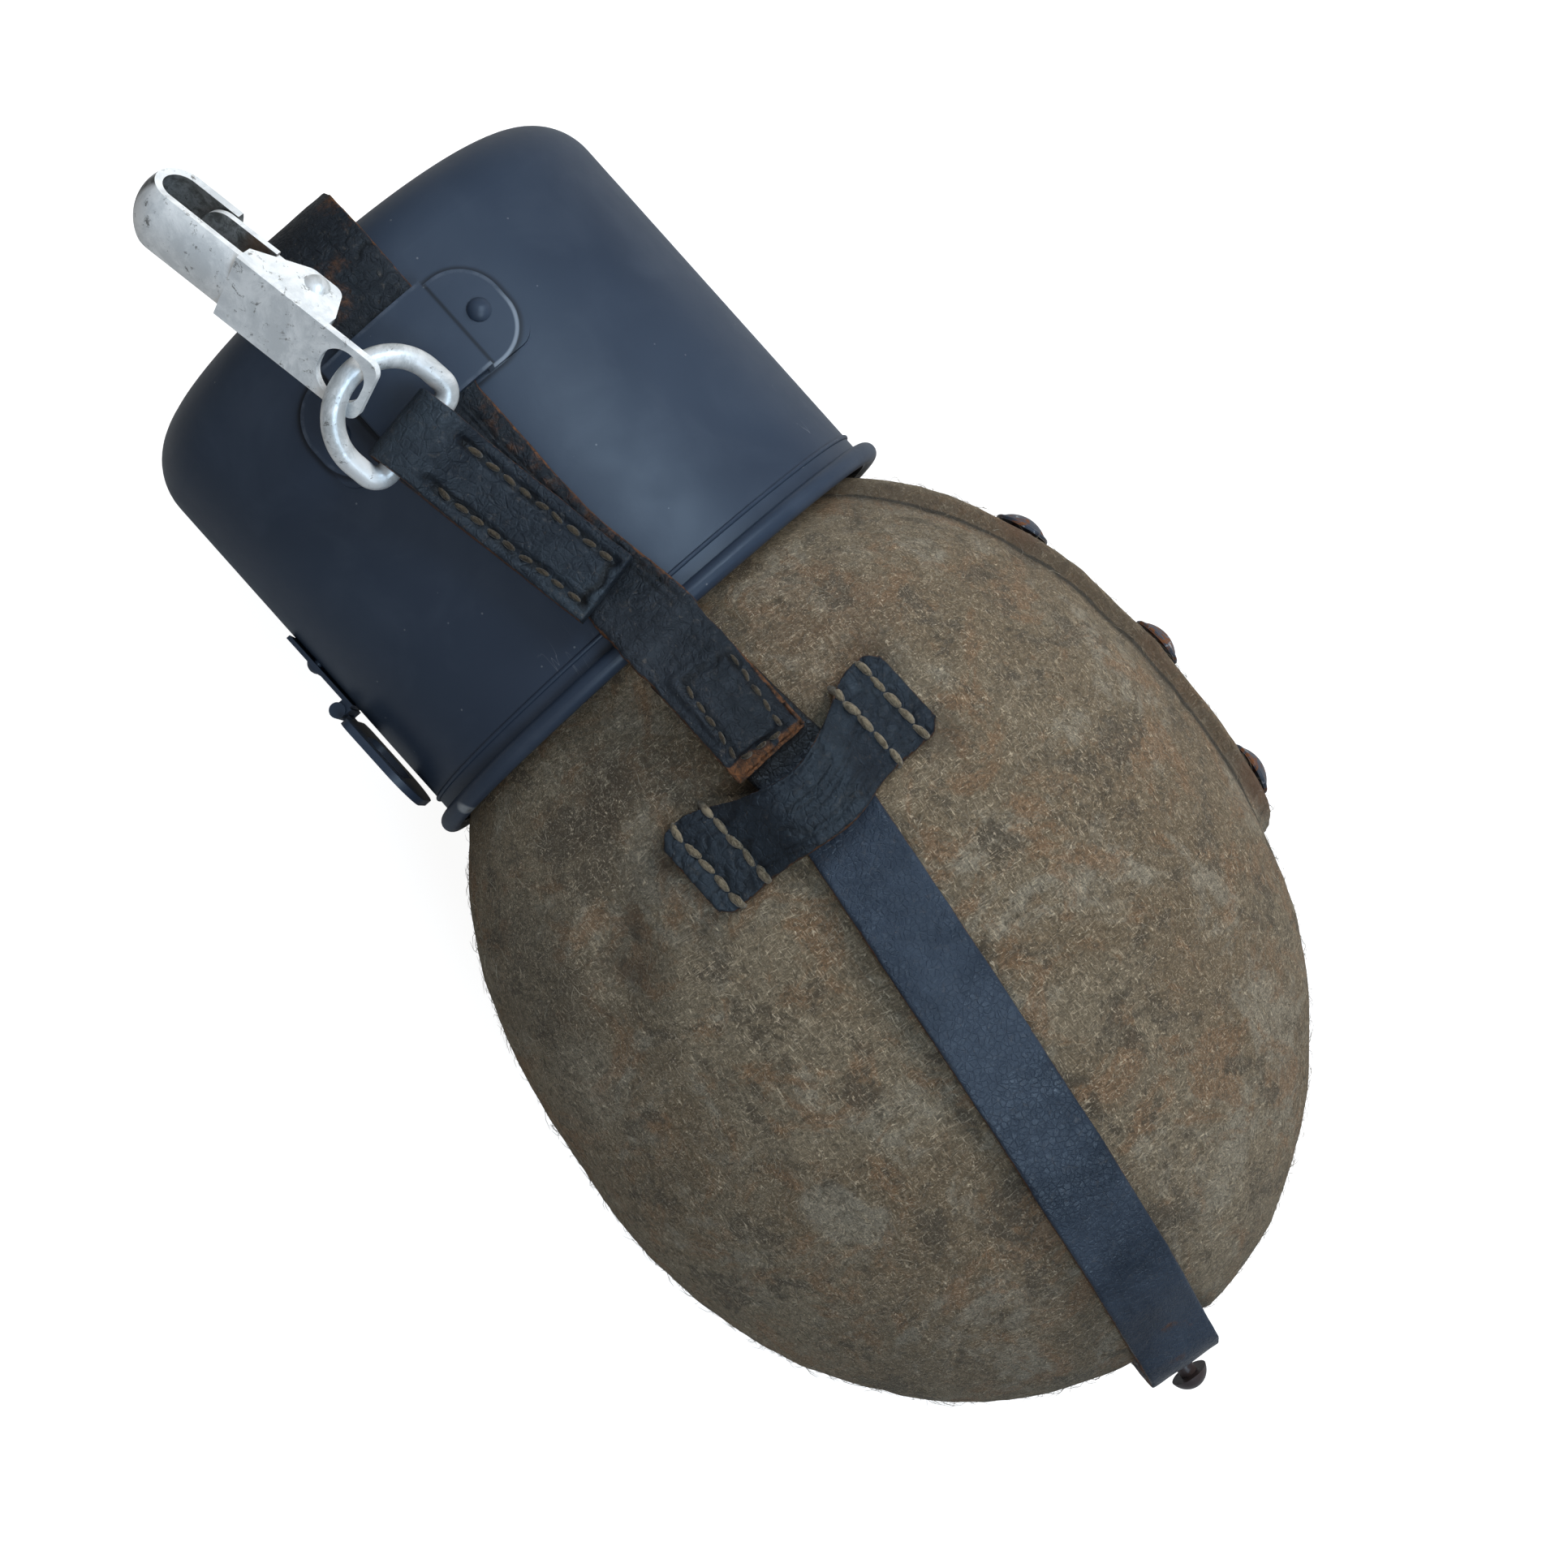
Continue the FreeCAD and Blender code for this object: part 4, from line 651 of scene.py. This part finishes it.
def shape_upper_strap(p, n, marks):
    """Wrinkled where it bends over the rim, grooved round the sewn end, layered and cracked on the cup; painted
    shade is marked in the groove, the crack and between the layers.
    """
    q = to_cup(p)
    top = step(n[:, 2], 0.3, 0.8) * on_front(p)
    push = bell(q[:, 1] - 159.0, 9.0) * on_front(p) * (
        0.55 * lumps(q * (0.28, 1, 1), 3.4, 5) + 0.26 * lumps(q * (0.35, 1, 1), 1.5, 6))
    push += 0.12 * lumps(p, 6.0, 7) + 0.06 * lumps(p, 2.0, 8)

    # the seam round the sewn patch
    x = p[:, 0] - STRAP_SHIFT
    long_side = np.minimum(np.abs(x - PATCH_SEAM), np.abs(x + PATCH_SEAM))
    in_length = step(p[:, 1], PATCH_LOW - 1.2, PATCH_LOW - 0.4)
    in_length *= fall(p[:, 1], PATCH_HIGH - 0.2, PATCH_HIGH + 0.8)
    end_line = np.minimum(np.abs(p[:, 1] - PATCH_LOW), np.abs(p[:, 1] - PATCH_HIGH - 0.8 * lumps(p, 2.5, 9)))
    in_width = fall(np.abs(x), PATCH_SEAM, PATCH_SEAM + 0.8)
    groove = np.maximum(fall(long_side, 0.3, 1.1) * in_length, fall(end_line, 0.3, 1.0) * in_width)
    push -= 0.5 * groove * top * (1 + 0.5 * lumps(p, 1.3, 17))
    # painted shade in the groove
    marks["dark"] += 0.8 * groove * top * step(lumps(p, 1.6, 10), -0.6, 0.3)

    # the crack, and raw leather on the cut sides, at the end and on the cup
    crack = bell(q[:, 1] - CRACK_HEIGHT - 1.6 * lumps(q, 2.2, 11), 0.35) * step(q[:, 0], 0.5, 3.5) * top
    push -= 0.7 * crack
    # painted shade in the crack
    marks["dark"] += crack
    marks["raw"] += step(np.abs(n @ (0.97, 0.2, 0.0)), 0.62, 0.9)
    marks["raw"] += step(-n[:, 1], 0.6, 0.85) * fall(p[:, 1], PATCH_LOW - 1.2, PATCH_LOW + 0.2) * on_front(p)
    marks["raw"] += 0.55 * step(q[:, 1], 226.0, 234.0) * step(lumps(q, 5.0, 12), -0.5, 0.6)

    # the layers seen at the right edge below the bracket
    middle = STRAP_SHIFT + (BRACKET_X - STRAP_SHIFT) * step(q[:, 1], RIM_HEIGHT, BRACKET_Y - BRACKET_HALF[1])
    inward = STRAP_WIDTH / 2 - (q[:, 0] - middle) + 0.3 * lumps(p, 3.0, 16)
    stacked = step(q[:, 1], 158.0, 166.0) * fall(q[:, 1], 208.0, 212.0) * on_front(p, 30, 35) * top
    layer = bell(inward - LAYERS[0], 0.32) + 0.8 * bell(inward - LAYERS[1], 0.3)
    push -= 0.55 * layer * stacked
    # painted shade between the layers
    marks["dark"] += layer * stacked
    marks["raw"] += 0.44 * fall(inward, 1.6, 3.2) * stacked

    # worn bevels along the right edge and at the sewn end
    sewn = on_front(p) * fall(q[:, 1], 186.0, 196.0)
    slant = step(x + 0.35 * lumps(p, 2.0, 14), STRAP_WIDTH / 2 - 1.7, STRAP_WIDTH / 2 - 0.2) * top * sewn
    end = fall(p[:, 1] + 0.25 * lumps(p, 2.0, 15), PATCH_LOW - 0.8, PATCH_LOW + 0.8) * top
    marks["raw"] += np.maximum(0.5 * slant, end) * step(lumps(p, 1.2, 13), -1.1, 0.1)
    push -= 0.9 * np.maximum(slant, end)

    # beside the tab the right side is drawn in
    moved = p + n * push[:, None]
    tuck = step(q[:, 1], 160.0, 186.0) * fall(q[:, 1], 210.0, 218.0) * on_front(p, 30, 35)
    tuck *= np.clip((q[:, 0] - middle + 1.0) / (STRAP_WIDTH / 2), 0, 1)
    moved -= TUCK * tuck[:, None] * np.array(cup_turn)[:, 0]
    return moved


def shape_lower_strap(p, n, marks):
    """Smooth with crisp edges, wrinkled a little at the bottom; its hidden upper end leans aside, and painted
    shadow is marked on its upper part.
    """
    low = fall(p[:, 1], 8.0, 30.0)
    push = 0.10 * lumps(p, 14.0, 20) + 0.05 * lumps(p, 3.0, 21) + low * 0.10 * lumps(p, 5.0, 24)
    sides = np.abs(n[:, 0])
    marks["raw"] += 0.75 * step(sides, 0.75, 0.95)
    marks["raw"] += 0.5 * low * step(lumps(p, 4.0, 23), 0.1, 0.7)
    marks["raw"] += 0.7 * step(sides, 0.5, 0.8) * step(p[:, 1], 128.0, 134.0)
    marks["raw"] += 0.34 * step(p[:, 0], 2.0, 4.0) * step(p[:, 1], 134.0, 138.0) * on_front(p)
    # painted shadow on the strap's upper part, from just below the upper strap's end upwards
    marks["dark"] += 0.9 * step(p[:, 1], 125.0, 130.0)
    moved = p + n * push[:, None]
    moved[:, 1] += stud_dip(p)
    moved[:, 0] -= LOWER_END_TURN * np.clip(p[:, 1] - LOWER_END_START, 0, None) * (p[:, 2] > 20)
    return moved


def shape_back_strap(p, n, marks):
    """Nearly smooth, with raw edges."""
    push = 0.12 * lumps(p, 9.0, 30) + 0.05 * lumps(p, 2.5, 31)
    marks["raw"] += 0.8 * step(np.abs(n[:, 0]), 0.75, 0.95)
    moved = p + n * push[:, None]
    moved[:, 1] += stud_dip(p)
    return moved


def shape_tab(p, n, marks):
    """Two sunk rows of stitches, a groove across the end, and a raised middle, with painted shade marked in the
    grooves.
    """
    t = to_tab(p)
    x, y = t[:, 0], t[:, 1]
    top = step(n[:, 2], 0.3, 0.8)
    left, right = (np.abs(x - row - 0.25 * lumps(t, 5.0, seed)) for row, seed in zip(TAB_ROWS, (41, 40)))
    in_rows = step(y, -40.0, -38.0) * fall(y, -7.0, -4.5)
    groove = fall(np.minimum(left, right), 0.35, 1.25) * in_rows * top
    end = fall(np.abs(y - TAB_END + 0.6 * lumps(t, 2.5, 42)), 0.2, 1.0) * fall(np.abs(x), 4.0, 4.8) * top
    push = 0.12 * lumps(p, 7.0, 43) + 0.06 * lumps(p, 2.2, 44)
    push -= 0.62 * groove * (1 + 0.5 * lumps(t, 1.6, 47)) + 0.5 * end
    push += 0.25 * fall(np.abs(x), 1.0, 4.6) * in_rows * top
    # painted shade in the stitch grooves and the groove across the end
    marks["dark"] += 0.85 * groove * step(lumps(t, 1.4, 45), -0.7, 0.4) + 0.9 * end
    marks["raw"] += 0.8 * step(np.abs(n @ np.array(tab_turn)[:, 0]), 0.8, 0.95)
    marks["raw"] += 0.45 * groove * step(lumps(t, 2.0, 46), 0.0, 0.6)
    return p + n * push[:, None]


def shape_loop(p, n, marks):
    """Bowed towards the bottom, creased along the arch, pinched by its stitches, its corners rounded, with
    painted shade marked along the creases and pinches.
    """
    side = np.sign(p[:, 2])
    front = side.sum() > 0
    q = to_cup(p) if front else p
    q = q - (0, LOOP_HEIGHT if front else BACK_LOOP_HEIGHT, 0)
    x, y = q[:, 0], q[:, 1]
    out = np.abs(x)
    foot = step(out, LOOP_HALF - 9.5, LOOP_HALF - 6.5)
    arch = 1 - foot
    crease, fine, pinch = (np.abs(lumps(q * shares, size, seed)) for shares, size, seed in (
        ((0.22, 1.5, 0.3), 2.2, 50), ((0.4, 2.4, 0.4), 1.5, 51), ((0.9, 1.3, 1), 1.7, 54)))
    outer = step(n[:, 2] * side, 0.1, 0.5)
    lines = fall(crease, 0.0, 0.22) * arch + fall(pinch, 0.0, 0.25) * foot
    push = -0.32 * lines * outer - 0.18 * fall(fine, 0.0, 0.3) * arch * outer + 0.20 * lumps(p, 7.0, 52) * arch
    for row in LOOP_ROWS:
        push -= 0.5 * bell(out - (LOOP_HALF - row), 1.0) * outer
    edge = step(np.abs(n[:, 1]), 0.75, 0.95) + step(np.abs(n[:, 0]), 0.8, 0.95) * (out > LOOP_HALF - 0.6)
    # painted shade along the creases and pinches
    marks["dark"] += 0.45 * lines * outer
    marks["raw"] += 0.7 * edge
    moved = p + n * push[:, None]
    corner = step(out, LOOP_HALF - 3.0, LOOP_HALF) ** 2 * step(np.abs(y), 3.0, 7.5)
    flare = (LOOP_FLARE - 1) * step(out, 8.0, LOOP_HALF - 5) - 0.24 * corner
    bow = 0.5 + 0.5 * np.cos(np.pi * np.clip(x / (LOOP_HALF - 4.0), -1, 1))
    stretch = x * (LOOP_STRETCH - 1)
    move_y = y * (flare - 0.12 * bow) - LOOP_BOW * bow + LOOP_SHIFT[1] * front
    turn = np.array(cup_turn) if front else np.eye(3)
    move_z = -side * FELT_FALL * np.abs(stretch)
    return moved + np.stack((stretch + LOOP_SHIFT[0] * front, move_y, move_z), 1) @ turn.T


felt = remade("felt_cover", "felt", 1.25, 1, shape_felt, FELT)
upper = remade("upper_strap", "upper_strap_leather", 0.5, 2, shape_upper_strap, WORN_LEATHER)
remade("lower_strap", "lower_strap_leather", 0.5, 2, shape_lower_strap, SMOOTH_LEATHER)
remade("back_strap", "back_strap_leather", 0.5, 2, shape_back_strap, SMOOTH_LEATHER)
tab = remade("hook_tab", "tab_leather", 0.4, 3, shape_tab, CREASED_LEATHER)
front_loop = remade("front_loop", "front_loop_leather", 0.36, 3, shape_loop, CREASED_LEATHER)
back_loop = remade("back_loop", "back_loop_leather", 0.36, 3, shape_loop, CREASED_LEATHER)


# Stitches and fibres


def tube(path, radii, ups, sides):
    """Points and faces of rings round a path, closed at both ends."""
    points, faces = [], []
    count = len(path)
    for i, centre in enumerate(path):
        ahead = path[min(i + 1, count - 1)] - path[max(i - 1, 0)]
        ahead.normalize()
        side = ahead.cross(ups[i]).normalized()
        up = side.cross(ahead)
        for k in range(sides):
            a = 2 * math.pi * k / sides
            points.append(centre + (side * math.cos(a) + up * math.sin(a)) * radii[i])
    for i in range(count - 1):
        for k in range(sides):
            a, b = i * sides + k, i * sides + (k + 1) % sides
            faces.append((a, b, b + sides, a + sides))
    faces.append(tuple(range(sides - 1, -1, -1)))
    faces.append(tuple(range((count - 1) * sides, count * sides)))
    return points, faces


def tubes_piece(name, tubes, material, smooth):
    """One piece of many tubes."""
    points, faces = [], []
    for new_points, new_faces in tubes:
        base = len(points)
        points += new_points
        faces += [tuple(base + v for v in f) for f in new_faces]
    mesh = bpy.data.meshes.new(name)
    mesh.from_pydata([tuple(v) for v in points], [], faces)
    mesh.materials.append(material)
    mesh.polygons.foreach_set("use_smooth", [smooth] * len(mesh.polygons))
    mesh.update()
    piece = bpy.data.objects.new(name, mesh)
    scene.collection.objects.link(piece)
    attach(piece, "canteen")


def tree_of(piece):
    mesh = piece.data
    return BVHTree.FromPolygons([v.co for v in mesh.vertices], [tuple(f.vertices) for f in mesh.polygons])


def seated(trees, point, toward):
    """Where a line from 20 mm before the point, going that way, first meets a piece: (place, normal)."""
    hits = [tree.ray_cast(point - toward * 0.02, toward, 0.06) for tree in trees]
    place, normal, _, _ = min((hit for hit in hits if hit[0] is not None), key=lambda hit: hit[3])
    return place, normal


def stitches(name, trees, rows, toward, length, gap, radius, material, seed):
    """Rows of single stitches, in millimetres, that dive into the leather at both ends."""
    rng = random.Random(seed)
    tubes = []
    for start, end in rows:
        run = (end - start).length
        count = max(1, round(run / ((length + gap) * MM)))
        pitch = run / count
        along = (end - start).normalized()
        sideways = along.cross(toward).normalized()
        for i in range(count):
            middle = start + along * pitch * (i + 0.5 + rng.uniform(-0.06, 0.06))
            direction = (along + sideways * rng.uniform(-0.22, 0.22)).normalized()
            size = radius * MM * rng.uniform(0.85, 1.15)
            half = (pitch - gap * MM) / 2
            path, radii = [], []
            for t in (-1.0, -0.92, -0.7, -0.35, 0.0, 0.35, 0.7, 0.92, 1.0):
                place, normal = seated(trees, middle + direction * half * t, toward)
                arch = 1 - abs(t) ** 2.5
                path.append(place + normal * size * (1.1 * arch - 0.75))
                radii.append(size * (0.55 + 0.45 * arch) * (0.35 if abs(t) == 1.0 else 1.0))
            tubes.append(tube(path, radii, [-toward] * len(path), 8))
    tubes_piece(name, tubes, material, True)


def fuzz(name, piece, count, seed):
    """Loose wool fibres lying on the felt, as thin closed strands."""
    rng = random.Random(seed)
    polygons = piece.data.polygons
    tubes = []
    while len(tubes) < count:
        polygon = polygons[rng.randrange(len(polygons))]
        centre, normal = polygon.center.copy(), polygon.normal.copy()
        if (centre - at(*BODY_MIDDLE)).dot(normal) < 0.004 or normal.length < 0.5:
            continue
        aside = Quaternion(normal, rng.uniform(0, 2 * math.pi)) @ normal.orthogonal().normalized()
        bend = normal.cross(aside) * rng.uniform(-0.7, 0.7)
        length = rng.uniform(1.2, 3.6) * MM
        lift = rng.uniform(0.05, 0.5)
        path = [centre - normal * 0.0001]
        for t in (0.5, 1.0):
            path.append(centre + (aside * t + bend * t * t + normal * lift * t * (1.3 - 0.7 * t)) * length)
        width = rng.uniform(0.025, 0.05) * MM
        tubes.append(tube(path, (width, width, width * 0.5), [normal] * 3, 3))
    tubes_piece(name, tubes, FIBRE, False)


DOWN, UP = Vector((0, 0, -1)), Vector((0, 0, 1))
ABOVE = 50

felt_tree = tree_of(felt)
for name, piece, place, aside, height, depth, toward in (
        ("front_loop_stitches", front_loop, cup_at, LOOP_SHIFT[0], LOOP_HEIGHT + LOOP_SHIFT[1], 45, DOWN),
        ("back_loop_stitches", back_loop, at, 0.0, BACK_LOOP_HEIGHT, -45, UP)):
    rows = []
    far, near = (LOOP_HALF - row for row in LOOP_ROWS)
    for x in (-far, -near, near, far):
        x = x * LOOP_STRETCH + aside
        rows.append((place(x, height - LOOP_REACH, depth), place(x, height + LOOP_REACH, depth)))
    stitches(name, (tree_of(piece), felt_tree), rows, toward, 3.4, 0.2, 0.72, TAN_THREAD, 1)

rows = [(tab_at(x, -38.0, 3), tab_at(x, -7.5, 3)) for x in TAB_ROWS]
stitches("tab_stitches", (tree_of(tab),), rows, DOWN, 2.6, 0.9, 0.5, DARK_THREAD, 3)

rows = []
for start, end in (((-PATCH_SEAM, 134.0), (-PATCH_SEAM, 149.4)), ((PATCH_SEAM, 134.0), (PATCH_SEAM, 149.4)),
                   ((-PATCH_END, PATCH_LOW), (PATCH_END, PATCH_LOW))):
    rows.append([at(STRAP_SHIFT + x, y, ABOVE) for x, y in (start, end)])
stitches("strap_end_stitches", (tree_of(upper),), rows, DOWN, 2.2, 0.8, 0.42, DARK_THREAD, 4)

fuzz("felt_fibres", felt, 9000, 5)


# Camera, floor and light

FOCAL = 2600.0
PHOTO_SIZE = 1932.0
SENSOR = 36.0
VIEW_OFFSET = Vector((-2.622, 4.854, 393.479))
VIEW_PIVOT = Vector((0, 120, 0))
camera_turn = (Matrix.Rotation(math.radians(34.844), 3, "Z") @ Matrix.Rotation(0.054, 3, "Y")
               @ Matrix.Rotation(0.02, 3, "X")).transposed()

camera = bpy.data.objects.new("camera", bpy.data.cameras.new("camera"))
scene.collection.objects.link(camera)
camera.data.sensor_width = SENSOR
camera.data.lens = SENSOR * FOCAL / PHOTO_SIZE
camera.data.clip_start = 0.02
camera.data.clip_end = 50.0
camera.location = at(*(camera_turn @ VIEW_OFFSET + VIEW_PIVOT))
camera.rotation_mode = "QUATERNION"
camera.rotation_quaternion = camera_turn.to_quaternion()
scene.camera = camera

FLOOR_SIZE = 6.0
bpy.ops.mesh.primitive_plane_add(size=FLOOR_SIZE, location=(0, 0, min(0.0, cad_box[0].z)))
floor = bpy.context.object
floor.name = "floor"
ground = Shader("floor", Roughness=0.9, Specular_IOR_Level=0.1)
ground.shader.inputs["Base Color"].default_value = (0.40, 0.40, 0.40, 1.0)
ground.shader.inputs["Emission Color"].default_value = (1.0, 1.0, 1.0, 1.0)
seen = ground.node("ShaderNodeLightPath").outputs["Is Camera Ray"]
ground.tree.links.new(ground.times(seen, 0.85), ground.shader.inputs["Emission Strength"])
floor.data.materials.append(ground.material)

scene.world = bpy.data.worlds.new("sky")
scene.world.use_nodes = True
backdrop = scene.world.node_tree.nodes["Background"]
backdrop.inputs["Color"].default_value = (0.80, 0.88, 1.0, 1.0)
backdrop.inputs["Strength"].default_value = 0.16


def lamp(name, place, target, size, power, colour, mirrored):
    """A round lamp aimed at the target, seen in gloss only if mirrored."""
    light = bpy.data.objects.new(name, bpy.data.lights.new(name, "AREA"))
    scene.collection.objects.link(light)
    light.data.shape = "DISK"
    light.data.size = size
    light.data.energy = power
    light.data.color = colour
    light.visible_glossy = mirrored
    light.visible_camera = False
    light.location = place
    light.rotation_mode = "QUATERNION"
    light.rotation_quaternion = (target - place).to_track_quat("-Z", "Y")


middle = Vector((0, 0, 0.05))
near_rim = cup_at(30, RIM_HEIGHT + 16, 30)
COOL = (0.6, 0.8, 1.0)
lamp("key", Vector((0.75, 0.1, 0.55)), middle, 0.5, 8.4, (1.0, 0.96, 0.9), False)
lamp("fill", Vector((-0.5, -0.2, 0.75)), middle, 0.8, 2.2, (1.0, 0.94, 0.84), False)
lamp("top", Vector((0.2, 0.45, 0.8)), middle, 0.6, 0.4, (0.8, 0.9, 1.0), True)
lamp("cup_sheen", near_rim + Vector((0.34, 0.155, 0.93)) * 0.16, near_rim, 0.07, 0.12, COOL, True)
lamp("sheen", Vector((0.02, -0.42, 0.75)), middle, 0.3, 2.4, COOL, True)

scene.view_settings.view_transform = "Standard"
